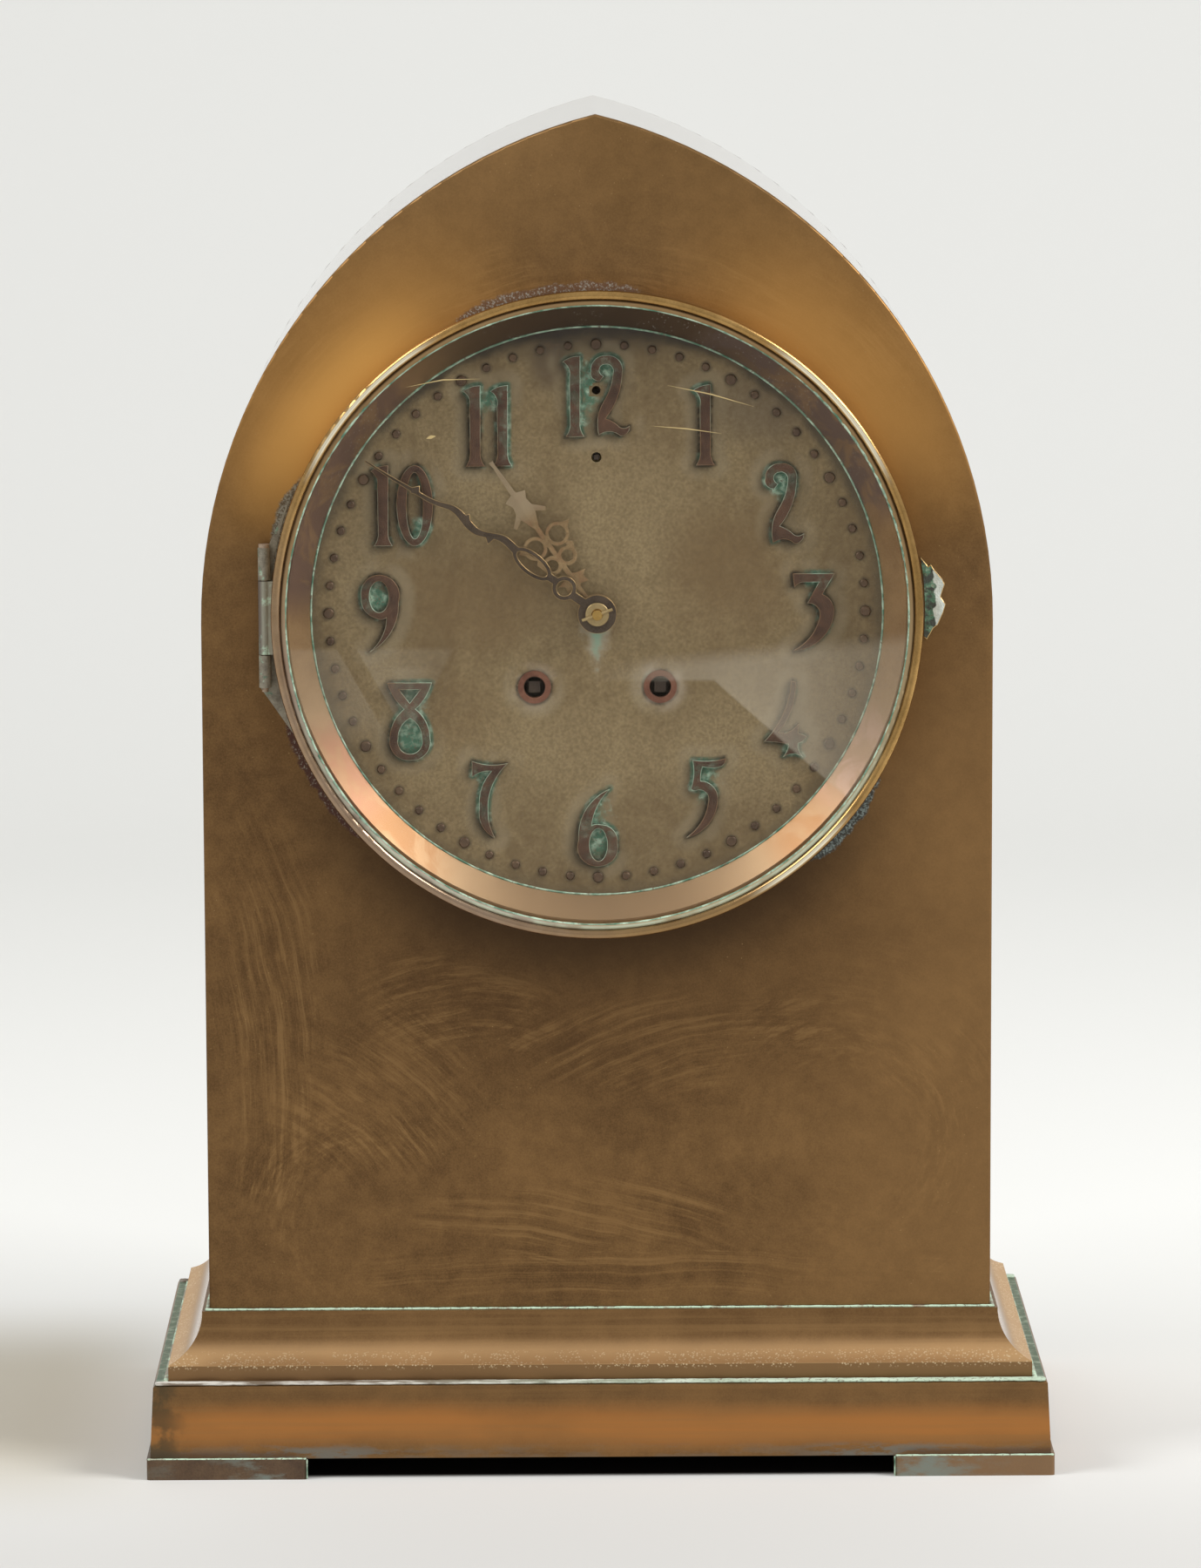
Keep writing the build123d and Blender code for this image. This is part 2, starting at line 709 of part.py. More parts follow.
def layer(from_back, thick=wheel_sheet):
    """Front and back depth of a wheel layer measured forward from the rear plate."""
    return rear_plate_y - from_back - thick, rear_plate_y - from_back


fourth_layer = layer(2.2)
centre_layer = layer(5.0)
second_layer = layer(7.8)
great_layer = layer(10.6, 2.0)
third_layer = layer(14.6)
pin_layer = layer(19.0)
escape_layer = layer(27.0)
drum_front = train_y + 2.6


def longer(span, extra=0.5):
    return span[0] - extra, span[1] + extra


# Movement plates, pillars and what is fixed to them
pillar_places = [polar(pillar_circle, a) for a in (30, 150, 210, 330)]
pivots = [second_at, third_at, escape_at, strike_second_at, pin_wheel_at, fly_at]
wind_shaft = 2.4
wind_rear = 1.8
centre_shaft = 1.9
centre_tip = 1.4
front_movement = rod(plate_radius, plate_y, train_y)
rear_movement = rod(plate_radius, rear_plate_y, rear_face_y)
for place in pivots + [pallet_at, hammer_at]:
    front_movement -= rod(pivot_radius + fit, plate_y - 1, train_y + 1, place)
for place in pivots:
    rear_movement -= rod(pivot_radius + fit, rear_plate_y - 1, rear_face_y + 1, place)
for place in wind_places:
    front_movement -= rod(wind_shaft + fit, plate_y - 1, train_y + 1, place)
    rear_movement -= rod(wind_rear + fit, rear_plate_y - 1, rear_face_y + 1, place)
front_movement -= rod(centre_shaft + fit, plate_y - 1, train_y + 1)
rear_movement -= rod(pivot_radius + fit, rear_plate_y - 1, rear_face_y + 1)
front_movement -= rod(1.0 + fit, plate_y - 1, train_y + 1, regulator_at)
rear_movement -= rod(1.0 + fit, rear_plate_y - 1, rear_face_y + 1, regulator_at)
rear_movement -= rod(2.0, rear_plate_y - 1, rear_face_y + 1, pallet_at)
rear_movement -= rod(arbor_radius + fit, rear_plate_y - 1, rear_face_y + 1, hammer_at)
for place in foot_places:
    front_movement -= rod(1.5, plate_y - 1, train_y + 1, place)
for place in pillar_places:
    front_movement -= rod(1.3, plate_y - 1, train_y + 1, place)
    rear_movement -= rod(1.3, rear_plate_y - 1, rear_face_y + 1, place)
save("movement_front_plate", front_movement)
save("movement_back_plate", rear_movement)

pillars = []
for place in pillar_places:
    post = rod(pillar_radius, train_y, rear_plate_y, place)
    pillars.append(post + rod(1.3, plate_y, rear_face_y, place))
save("movement_pillars", *pillars)

feet_posts = []
for place in foot_places:
    feet_posts.append(rod(2.4, dial_back_y, plate_y, place) + rod(1.5, plate_y, train_y, place))
save("dial_feet", *feet_posts)

minute_post = 1.2
post_head = dial_back_y + 0.6
save("minute_wheel_post", rod(minute_post, post_head, plate_y, minute_at))

# Going train
barrel_turn = 0.0
great_phase = 7.0
second_pinion_phase = meshing_phase(great_phase, great_teeth, time_at, second_at, leaves)
second_phase = 3.0
centre_pinion_phase = meshing_phase(second_phase, second_teeth, second_at, centre_at, leaves)
centre_phase = 2.0
third_pinion_phase = meshing_phase(centre_phase, centre_teeth, centre_at, third_at, fine_leaves)
third_phase = 1.0
escape_pinion_phase = meshing_phase(third_phase, third_teeth, third_at, escape_at, fine_leaves)
drum_wall = 0.9
drum_cap = 1.2
hub_radius = 4.5


def barrel_drum(at, phase):
    """A spring barrel turning on the winding arbor: drum, front cap and great wheel."""
    front, back = great_layer
    drum = tube(barrel_radius, barrel_radius - drum_wall, drum_front, front, at)
    drum += rod(barrel_radius, drum_front, drum_front + drum_cap, at)
    drum += between(toothed(great_teeth, train_module, False, phase), front, back, at)
    drum -= rod(wind_shaft + fit, drum_front - 1, drum_front + drum_cap + 1, at)
    drum -= rod(wind_rear + fit, front - 1, back + 1, at)
    return drum


spring_strip = 0.45
spring_turns = 7


def mainspring(at):
    """A wound strip inside the drum, its edge against the great wheel."""
    inner = hub_radius + 0.7
    outer = barrel_radius - drum_wall - 0.5
    steps = 20 * spring_turns
    inside = []
    outside = []
    for k in range(steps + 1):
        radius = inner + (outer - spring_strip - inner) * k / steps
        inside.append(polar(radius, 18 * k))
        outside.append(polar(radius + spring_strip, 18 * k))
    face = Polygon(*inside, *reversed(outside), align=None)
    return between(face, drum_front + drum_cap + 0.6, great_layer[0], at)


def winding_arbor(at):
    """The winding square, ratchet wheel and arbor, with the hub that the spring hooks to."""
    front, back = great_layer
    shaft = rod(wind_shaft, plate_y - 2.4, front - clear, at)
    shaft += rod(wind_rear, front - clear, rear_face_y, at)
    shaft += rod(hub_radius, drum_front + drum_cap + clear, front - clear, at)
    shaft += between(Rectangle(3.2, 3.2), dial_y + 0.3, plate_y - 2.4, at)
    points = []
    for k in range(18):
        points.append(polar(6.8, 20 * k))
        points.append(polar(5.8, 20 * k + 2))
    shaft += between(Polygon(*points, align=None), plate_y - 1.9, plate_y - 0.5, at)
    return shaft


save("time_barrel", barrel_drum(time_at, great_phase))
save("strike_barrel", barrel_drum(strike_at, great_phase))
save("time_mainspring", mainspring(time_at))
save("strike_mainspring", mainspring(strike_at))
save("time_winding_arbor", winding_arbor(time_at))
save("strike_winding_arbor", winding_arbor(strike_at))

click_pivot = 1.0
click_springs = []
for name, place, way in (("time_click", time_at, 1), ("strike_click", strike_at, -1)):
    post_at = add(place, (way * 11.5, -6.0))
    bore = Circle(click_pivot + fit)
    finger = outline((-1.8, -1.0), [(1.8, -1.0)], [(0.8, 6.6)], [(-4.4, 5.5)], [(-1.8, 1.4)])
    click = (Circle(2.2) + finger) - bore
    if way < 0:
        click = mirror(click, Plane.YZ)
    save(name, between(click, plate_y - 1.9, plate_y - 0.5, post_at))
    stud = rod(click_pivot, plate_y - 2.3, plate_y, post_at)
    strip = outline(
        (way * 5.0, -3.4),
        [(way * 5.0, 2.0), (way * 3.4, 7.4)],
        [(way * 4.0, 7.6)],
        [(way * 5.8, 2.0), (way * 6.6, -3.4)],
    )
    click_springs.extend([stud, between(strip, plate_y - 1.7, plate_y, post_at)])
save("click_studs_and_springs", *click_springs)

second = arbor(second_at) + wheel(second_teeth, train_module, *second_layer, second_at, second_phase, 3.0)
second += pinion(leaves, train_module, *longer(great_layer), second_at, second_pinion_phase)
save("second_wheel", second)

minute_hand_y = dial_y - minute_hand_lift
washer_y = minute_hand_y - hand_sheet
pin_y = washer_y - 0.9 - 0.45
centre_shoulder = plate_y - 0.4
centre = rod(centre_shaft, centre_shoulder, rear_plate_y - clear)
centre += rod(pivot_radius, rear_plate_y - 1, rear_face_y)
centre += rod(centre_tip, pin_y - 1.1, centre_shoulder)
centre += wheel(centre_teeth, fine_module, *centre_layer, centre_at, centre_phase, 3.6)
centre += pinion(leaves, train_module, *longer(second_layer), centre_at, centre_pinion_phase)
hand_pin = Pos(0, pin_y, dial_z) * Rot(0, 90 - 20, 0) * Cylinder(0.45, 9.0)
centre -= hand_pin
save("centre_wheel", centre)
save("hand_pin", hand_pin)
save("hand_washer", fillet(front_edges(tube(3.3, centre_tip, washer_y - 0.9, washer_y), washer_y - 0.9), 0.3))

third = arbor(third_at) + wheel(third_teeth, train_module, *third_layer, third_at, third_phase, 2.6)
third += pinion(fine_leaves, fine_module, *longer(centre_layer), third_at, third_pinion_phase)
save("third_wheel", third)

escape_points = []
for k in range(escape_teeth):
    escape_points.append(polar(escape_radius - 1.0, 360 / escape_teeth * k))
    escape_points.append(polar(escape_radius, 360 / escape_teeth * (k + 0.35)))
escape_face = Polygon(*escape_points, align=None) - (Circle(6.2) - Circle(2.4) - Rectangle(13, 1.4) - Rectangle(1.4, 13))
escape = arbor(escape_at) + between(escape_face, *escape_layer, escape_at)
escape += pinion(fine_leaves, train_module, *longer(third_layer), escape_at, escape_pinion_phase)
save("escape_wheel", escape)

# Motion work under the dial
cannon_teeth = 12
minute_teeth = 36
minute_leaves = 10
hour_teeth = 40
quick_module = 2 * motion_distance / (cannon_teeth + minute_teeth)
slow_module = 2 * motion_distance / (minute_leaves + hour_teeth)
cannon_radius = 2.5
cannon_front = plate_y - 2.2
cannon = tube(cannon_radius, centre_tip, minute_hand_y - hand_sheet, centre_shoulder)
cannon += pinion(cannon_teeth, quick_module, cannon_front, centre_shoulder, centre_at, 5.0) - rod(cannon_radius - 0.4, -90, 0)
save("cannon_pinion", cannon)

minute_phase = meshing_phase(5.0, cannon_teeth, centre_at, minute_at, minute_teeth)
minute_wheel = wheel(minute_teeth, quick_module, plate_y - 1.8, plate_y - 0.7, minute_at, minute_phase, 4.4)
minute_wheel += pinion(minute_leaves, slow_module, plate_y - 5.0, plate_y - 1.8, minute_at, 4.0)
minute_wheel -= rod(minute_post + fit, plate_y - 6, plate_y, minute_at)
save("minute_wheel", minute_wheel)

hour_phase = meshing_phase(4.0, minute_leaves, minute_at, centre_at, hour_teeth)
hour_hand_y = dial_y - hour_hand_lift
hour_wheel = wheel(hour_teeth, slow_module, plate_y - 4.2, plate_y - 2.8, centre_at, hour_phase, 4.6)
hour_wheel += rod(hour_pipe_radius, hour_hand_y - hand_sheet, plate_y - 2.8)
hour_wheel -= rod(cannon_radius + fit, -90, 0)
save("hour_wheel", hour_wheel)

# Hands, drawn pointing up and turned to ten to eleven
def facing(face):
    """The same face with its normal up, so that faces join whichever way round they were drawn."""
    return face if face.face().normal_at().Z > 0 else Sketch() + -face.face()


def blade(right_side, left_side):
    """A face between two wavy edges, each given from the hub outward."""
    ends = [Line(right_side[0], left_side[0]), Line(right_side[-1], left_side[-1])]
    return facing(make_face([Spline(*right_side), Spline(*left_side), *ends]))


def both_sides(points):
    """A leaf on the right and its mirror image on the left."""
    left = [(-side, rise) for side, rise in points]
    return facing(Polygon(*points, align=None)) + facing(Polygon(*left, align=None))


# The minute hand is serpentine: its body swings to the right of the straight line to the tip
tip = minute_length
eye = (1.0, 11.6)
loop = Pos(1.7, 22.8) * Rot(0, 0, -5)
minute_right = [(3.4, 27.6), (3.9, 30.6), (4.1, 33.0), (3.0, 36.4), (1.7, 40.2), (2.5, 44.3), (3.3, 49.4), (1.9, 54.0)]
minute_right += [(1.2, 60.0), (0.7, 66.0), (0.25, tip)]
minute_left = [(1.0, 27.6), (1.6, 30.6), (2.0, 33.0), (1.2, 36.4), (-0.2, 40.2), (0.1, 44.3), (1.5, 49.4), (0.5, 54.0)]
minute_left += [(0.0, 60.0), (-0.2, 66.0), (-0.25, tip)]
minute_face = Circle(5.4)
minute_face += Pos(0.6, 7.0) * Rectangle(2.4, 5.0)
minute_face += Pos(*eye) * Circle(3.4)
minute_face += Pos(1.3, 16.0) * Rectangle(2.2, 4.6)
minute_face += loop * Ellipse(3.1, 6.5)
minute_face += blade(minute_right, minute_left)
minute_face += Polygon((1.6, 38.6), (-0.6, 36.0), (1.8, 35.4), align=None)
minute_face += Polygon((1.6, 43.2), (3.7, 44.9), (1.8, 46.6), align=None)
minute_face += Polygon((0.6, 59.4), (2.6, 60.7), (0.6, 62.6), (-0.5, 61.6), align=None)
minute_face -= Circle(cannon_radius)
minute_face -= Pos(*eye) * Circle(2.2)
minute_face -= loop * Ellipse(2.0, 5.2)
save("minute_hand", between(Rot(0, 0, -minute_turn) * minute_face, washer_y, minute_hand_y))

# The hour hand is pierced foliage: two pairs of scrolls, a pair of curling arms, a star and a needle
tip = hour_length
scrolls = [((2.5, 18.0), 2.7, 1.7), ((3.7, 24.6), 3.3, 2.4)]
hour_face = Circle(5.4)
hour_face += Pos(0, 20.0) * Rectangle(1.3, 34.0)
hour_face += both_sides([(0.0, 13.8), (1.6, 12.8), (4.5, 12.2), (3.0, 11.0), (3.4, 9.0), (1.2, 9.6), (0.0, 8.0)])
for (side, rise), outer, inner in scrolls:
    for way in (-side, side):
        hour_face += Pos(way, rise) * Circle(outer)
hour_face += both_sides([(4.6, 22.0), (6.0, 20.4), (5.2, 18.2), (3.4, 19.4)])
hour_face += both_sides([(6.2, 26.8), (8.7, 26.0), (6.6, 24.2)])
hour_face += both_sides([(0.0, 36.4), (2.4, 35.6), (5.4, 32.6), (4.8, 31.8), (2.4, 33.4), (1.0, 30.0), (0.0, 28.0)])
hour_face += both_sides([(0.0, 42.0), (0.7, 40.6), (3.3, 39.6), (2.2, 37.6), (2.6, 35.4), (0.0, 34.6)])
hour_face += Polygon((-0.8, 39.0), (0.8, 39.0), (0.45, tip - 2.0), (0.6, tip), (-0.6, tip), (-0.45, tip - 2.0), align=None)
hour_face -= Circle(hour_pipe_radius)
for (side, rise), outer, inner in scrolls:
    for way in (-side, side):
        hour_face -= Pos(way, rise) * Circle(inner)
hour_face += Pos(0, 20.0) * Rectangle(0.9, 30.0)
hour_face -= Circle(hour_pipe_radius)
save("hour_hand", between(Rot(0, 0, -hour_turn) * hour_face, hour_hand_y - hand_sheet, hour_hand_y))

# Escapement and pendulum, swinging on one axis behind the rear plate
cock_gap = 6.0
cock_sheet = 2.2
cock_y = rear_face_y + cock_gap
stud_y = cock_y + cock_sheet
pendulum_y = stud_y + 3.2
stud_size = 1.5
cock = between(Pos(0, 3.2) * RectangleRounded(32, 13, 3), cock_y, stud_y, pallet_at)
for side in (-12.5, 12.5):
    cock += rod(2.2, rear_face_y, cock_y, add(pallet_at, (side, 5.0)))
cock -= rod(pivot_radius + fit, cock_y - 1, cock_y + cock_sheet / 2, pallet_at)
cock -= rod(1.0 + fit, cock_y - 1, stud_y + 1, regulator_at)
cock += rod(stud_size, stud_y, pendulum_y + 2.6, pallet_at)
cock += rod(stud_size + 1.0, pendulum_y + 2.6, pendulum_y + 3.6, pallet_at)
save("suspension_cock", cock)

pad = polar(escape_radius + 1.2, 40)
arm_face = outline(
    (0.0, 2.4),
    [(2.6, 1.8), (4.4, 0.0)],
    [(pad[0] + 1.0, pad[1] + escape_rise - pallet_rise + 0.8)],
    [(pad[0] - 0.1, pad[1] + escape_rise - pallet_rise)],
    [(3.0, -1.6)],
    [(0.0, -2.2), (-3.0, -1.6)],
    [(0.1 - pad[0], pad[1] + escape_rise - pallet_rise)],
    [(-pad[0] - 1.0, pad[1] + escape_rise - pallet_rise + 0.8)],
    [(-4.4, 0.0)],
    [(-2.6, 1.8), (0.0, 2.4)],
)
crutch_y = rear_face_y + 1.6
crutch_drop = 26.0
crutch_sheet = 1.2
anchor = between(arm_face, *escape_layer, pallet_at)
anchor += rod(arbor_radius, train_y + clear, cock_y - clear, pallet_at)
anchor += rod(pivot_radius, plate_y, cock_y + cock_sheet / 2 - 0.2, pallet_at)
anchor += between(Pos(0, -crutch_drop / 2) * Rectangle(2.4, crutch_drop), crutch_y, crutch_y + crutch_sheet, pallet_at)
fork_face = Rectangle(6.4, 4.0) - Rectangle(3.4, 6.0)
anchor += between(Rectangle(6.4, 4.0), crutch_y, crutch_y + crutch_sheet, add(pallet_at, (0, -crutch_drop)))
anchor += between(fork_face, crutch_y, pendulum_y + 2.0, add(pallet_at, (0, -crutch_drop)))
save("pallet_anchor", anchor)

bob_radius = 18.0
pendulum_rod_radius = 1.2
rod_end = pendulum_length + bob_radius + 9.0
pendulum = tube(stud_size + 1.6, stud_size + fit, pendulum_y - 2.2, pendulum_y + 2.2, pallet_at)
hang = Pos(0, pendulum_y, dial_z + pallet_rise - rod_end)
pendulum += hang * extrude(Circle(pendulum_rod_radius), amount=rod_end - stud_size - 0.8)
save("pendulum_rod", pendulum)
bob_at = add(pallet_at, (0, -pendulum_length))
bob = rod(bob_radius, pendulum_y - 3.4, pendulum_y + 3.4, bob_at)
bob = fillet(front_edges(bob, pendulum_y - 3.4) + front_edges(bob, pendulum_y + 3.4), 1.2)
bore = Pos(0, pendulum_y, dial_z + bob_at[1]) * Cylinder(pendulum_rod_radius, 3 * bob_radius)
nut_z = dial_z + bob_at[1] - bob_radius - 3.0
nut = Pos(0, pendulum_y, nut_z) * extrude(Circle(4.0) - Circle(pendulum_rod_radius), amount=3.0)
save("pendulum_bob", bob - bore, nut)

regulator = rod(1.0, dial_back_y + 0.4, stud_y, regulator_at)
regulator += between(Rectangle(1.3, 1.3), dial_y + 0.2, dial_back_y + 0.4, regulator_at)
save("regulator_arbor", regulator)

# Striking train, bell and hammer
strike_pinion_phase = meshing_phase(great_phase, great_teeth, strike_at, strike_second_at, leaves)
strike_phase = 2.0
pin_pinion_phase = meshing_phase(strike_phase, strike_second_teeth, strike_second_at, pin_wheel_at, fine_leaves)
pin_phase = 4.0
fly_phase = meshing_phase(pin_phase, pin_wheel_teeth, pin_wheel_at, fly_at, fine_leaves)
strike_second = arbor(strike_second_at)
strike_second += wheel(strike_second_teeth, train_module, *fourth_layer, strike_second_at, strike_phase, 3.0)
strike_second += pinion(leaves, train_module, *longer(great_layer), strike_second_at, strike_pinion_phase)
save("strike_second_wheel", strike_second)

lift_circle = 7.6
lift_pin = 0.6
pin_wheel = arbor(pin_wheel_at) + wheel(pin_wheel_teeth, fine_module, *pin_layer, pin_wheel_at, pin_phase, 2.6)
pin_wheel += pinion(fine_leaves, train_module, *longer(fourth_layer), pin_wheel_at, pin_pinion_phase)
pin_wheel += tube(8.6, 6.6, *pin_layer, pin_wheel_at)
for k in range(10):
    pin_wheel += rod(lift_pin, pin_layer[1] - 0.5, pin_layer[1] + 2.2, add(pin_wheel_at, polar(lift_circle, 36 * k)))
save("strike_pin_wheel", pin_wheel)

fly = arbor(fly_at) + pinion(fine_leaves, fine_module, *longer(pin_layer), fly_at, fly_phase)
fly += between(Rectangle(11.0, 1.0), train_y + 1.5, pin_layer[0] - 1.5, fly_at)
save("strike_fly", fly)

bell_front_y = rear_face_y + 18.0
bell_arm = 2.0
bell_back_y = back_inner_y - 3.0 - bell_arm
bell_wall = 1.4
bell_deep = bell_back_y - bell_front_y
bell_at = (0.0, -bell_drop)
bell_face = outline(
    (0.0, bell_back_y),
    [(5.0, bell_back_y)],
    [(bell_radius * 0.8, bell_back_y), (bell_radius * 0.9, bell_back_y - bell_deep * 0.4), (bell_radius, bell_front_y)],
    [(bell_radius - bell_wall, bell_front_y)],
    [
        (bell_radius * 0.9 - bell_wall, bell_back_y - bell_deep * 0.4),
        (bell_radius * 0.8 - bell_wall, bell_back_y - bell_wall),
        (5.0, bell_back_y - bell_wall),
    ],
    [(0.0, bell_back_y - bell_wall)],
)
save("bell", turned(bell_face, bell_at))

stand_at = (24.0, -38.0)
stand = rod(2.2, rear_face_y, bell_back_y, stand_at)
reach = math.dist(stand_at, bell_at)
lean = math.degrees(math.atan2(bell_at[1] - stand_at[1], bell_at[0] - stand_at[0]))
middle = ((stand_at[0] + bell_at[0]) / 2, (stand_at[1] + bell_at[1]) / 2)
stand += between(Rot(0, 0, lean) * SlotOverall(reach + 8, 8), bell_back_y, bell_back_y + bell_arm, middle)
save("bell_stand", stand)

head_length = 5.0
head_at = (-bell_radius - 0.7 - head_length / 2, -8.0)
head_y = bell_front_y + 2.0
hammer = rod(arbor_radius, train_y + clear, head_y + 1.0, hammer_at)
hammer += rod(pivot_radius, plate_y, train_y + 1, hammer_at)
toward = math.degrees(math.atan2(pin_wheel_at[1] - hammer_at[1], pin_wheel_at[0] - hammer_at[0]))
tail = math.dist(hammer_at, pin_wheel_at) - lift_circle - lift_pin - 0.5
tail_face = Circle(2.2) + Rot(0, 0, toward) * Pos(tail / 2, 0) * Rectangle(tail, 1.8)
hammer += between(tail_face, pin_layer[1] + 0.4, pin_layer[1] + 1.8, hammer_at)
stem = math.dist(hammer_at, head_at)
stem_turn = math.degrees(math.atan2(head_at[1] - hammer_at[1], head_at[0] - hammer_at[0]))
stem_face = Circle(2.2) + Rot(0, 0, stem_turn) * Pos(stem / 2, 0) * Rectangle(stem, 1.6)
hammer += between(stem_face, head_y - 0.8, head_y + 0.8, hammer_at)
hammer += Pos(head_at[0], head_y, dial_z + head_at[1]) * Rot(0, 90, 0) * Cylinder(2.6, head_length)
save("strike_hammer", hammer)
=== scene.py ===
# %% [markdown]
# A pointed brass mantel clock with a round dial, raised numerals and a stepped base.
# The CAD model is the fixed frame of this lesson: it gives every plate, wheel and hinge its place.
# Blender then adds what a drawing leaves out: the brown skin of old brass, the green bloom that
# creeps out of each seam, the worn edges that catch the light, and the studio around the clock.

# %% Load the frame
import math

import bpy
from mathutils import Matrix, Vector
from mathutils.bvhtree import BVHTree


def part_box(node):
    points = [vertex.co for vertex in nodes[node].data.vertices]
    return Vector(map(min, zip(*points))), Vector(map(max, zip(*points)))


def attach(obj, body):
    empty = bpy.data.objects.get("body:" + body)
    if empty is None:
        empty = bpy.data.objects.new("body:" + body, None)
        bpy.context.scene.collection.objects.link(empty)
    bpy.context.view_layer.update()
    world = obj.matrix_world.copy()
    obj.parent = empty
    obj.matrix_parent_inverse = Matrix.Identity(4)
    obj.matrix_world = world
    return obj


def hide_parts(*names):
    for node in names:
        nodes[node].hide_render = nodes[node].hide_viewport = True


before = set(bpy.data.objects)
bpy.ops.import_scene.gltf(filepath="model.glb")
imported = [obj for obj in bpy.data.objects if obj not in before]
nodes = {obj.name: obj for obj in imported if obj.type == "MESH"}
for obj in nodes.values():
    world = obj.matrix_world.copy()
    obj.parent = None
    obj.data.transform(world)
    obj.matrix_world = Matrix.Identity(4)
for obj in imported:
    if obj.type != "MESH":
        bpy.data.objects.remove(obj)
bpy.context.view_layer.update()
bpy.ops.object.select_all(action="DESELECT")
scene = bpy.context.scene
mm = 0.001
# The height of the dial's centre and the depth of its face are those of the CAD.
dial_height = 242 * mm
dial_face = -50.3 * mm
print("CAD nodes:", len(nodes))

# %% [markdown]
# The photograph was taken with a long lens from a little above the clock, so its upright edges
# stay nearly parallel and the top of the arch shows as a thin sliver.
# A camera can be turned by hand, but here three small angles and a place are enough.
# The matrix is built from its right, up and backward directions.

# %% Camera
camera_place = Vector((-12.7, -1973.5, 482.4)) * mm
camera_yaw = 0.007
camera_pitch = 0.149
camera_roll = -0.004
camera_data = bpy.data.cameras.new("long_lens")
camera_data.lens = 160.1
camera_data.sensor_width = 36
camera_data.clip_start = 0.05
camera = bpy.data.objects.new("camera", camera_data)
scene.collection.objects.link(camera)
forward = Vector((math.sin(camera_yaw) * math.cos(camera_pitch),
                  math.cos(camera_yaw) * math.cos(camera_pitch),
                  -math.sin(camera_pitch)))
level = Vector((math.cos(camera_yaw), -math.sin(camera_yaw), 0))
above = level.cross(forward)
right = level * math.cos(camera_roll) + above * math.sin(camera_roll)
upward = above * math.cos(camera_roll) - level * math.sin(camera_roll)
turned = Matrix((right, upward, -forward)).transposed()
camera.matrix_world = Matrix.Translation(camera_place) @ turned.to_4x4()
scene.camera = camera
scene.view_settings.view_transform = "Standard"
print("camera looks down by", round(math.degrees(camera_pitch), 1), "degrees")

# %% [markdown]
# A finish is a small machine of nodes, and most finishes share the same few parts.
# By hand each node would be placed and joined in the shader editor. Here a Wire is the output of
# one node, and sums and products of wires place Math nodes, so that a finish reads as a short recipe.

# %% Helpers: wires between nodes
class Wire:
    """The output of a node. Arithmetic on wires places Math nodes and gives their outputs."""

    def __init__(self, socket):
        self.socket = socket

    def __add__(self, other):
        return calc("ADD", self, other)

    def __sub__(self, other):
        return calc("SUBTRACT", self, other)

    def __rsub__(self, other):
        return calc("SUBTRACT", other, self)

    def __mul__(self, other):
        return calc("MULTIPLY", self, other)

    def __truediv__(self, other):
        return calc("DIVIDE", self, other)

    def __abs__(self):
        return calc("ABSOLUTE", self)

    __radd__ = __add__
    __rmul__ = __mul__


def feed(socket, value):
    """Links a wire to a socket, or sets the socket to a plain value."""
    if isinstance(value, Wire):
        socket.id_data.links.new(value.socket, socket)
    else:
        socket.default_value = value


def fill(node, **values):
    """Feeds a node's inputs by name. Underscores in the names stand for spaces."""
    for name, value in values.items():
        feed(node.inputs[name.replace("_", " ")], value)


def node_beside(values, kind):
    """A new node in the tree of the first wire among some values."""
    wire = next(value for value in values if isinstance(value, Wire))
    return wire.socket.id_data.nodes.new(kind)


def calc(operation, *values):
    made = node_beside(values, "ShaderNodeMath")
    made.operation = operation
    for place, value in enumerate(values):
        feed(made.inputs[place], value)
    return Wire(made.outputs[0])


print("helpers for wires are ready")

# %% [markdown]
# A mask is a value that runs from 0 to 1 over the surface, and a colour is mixed in where it is 1.
# Smooth steps and noise are enough to draw nearly every mask of this clock.

# %% Helpers: masks and patterns
def ramp(value, low, high, start=0.0, end=1.0):
    """A smooth step: start below low, end above high."""
    made = node_beside([value], "ShaderNodeMapRange")
    made.interpolation_type = "SMOOTHSTEP"
    fill(made, Value=value, From_Min=low, From_Max=high, To_Min=start, To_Max=end)
    return Wire(made.outputs[0])


def band(value, low, high, soft):
    """A mask that is 1 between low and high and fades over soft on each side."""
    return ramp(value, low - soft, low) * ramp(value, high, high + soft, 1.0, 0.0)


def mix(factor, first, second):
    """The first colour where the factor is 0, the second where it is 1."""
    made = node_beside([factor], "ShaderNodeMix")
    made.data_type = "RGBA"
    for place, value in ((0, factor), (6, first), (7, second)):
        feed(made.inputs[place], value)
    return Wire(made.outputs[2])


def noise(vector, scale, detail=4.0, roughness=0.55, distortion=0.0):
    made = node_beside([vector], "ShaderNodeTexNoise")
    fill(made, Vector=vector, Scale=scale, Detail=detail, Roughness=roughness, Distortion=distortion)
    return Wire(made.outputs["Fac"])


def stretched(vector, scale):
    made = node_beside([vector], "ShaderNodeMapping")
    fill(made, Vector=vector, Scale=scale)
    return Wire(made.outputs[0])


def bump(height, strength, distance):
    made = node_beside([height], "ShaderNodeBump")
    fill(made, Height=height, Strength=strength, Distance=distance)
    return Wire(made.outputs[0])


# %% [markdown]
# Marks of age have their places: under the bezel, beside a numeral, along the foot. Object coordinates
# are metres in the frame of the CAD, so a place on the clock can be read off in millimetres.

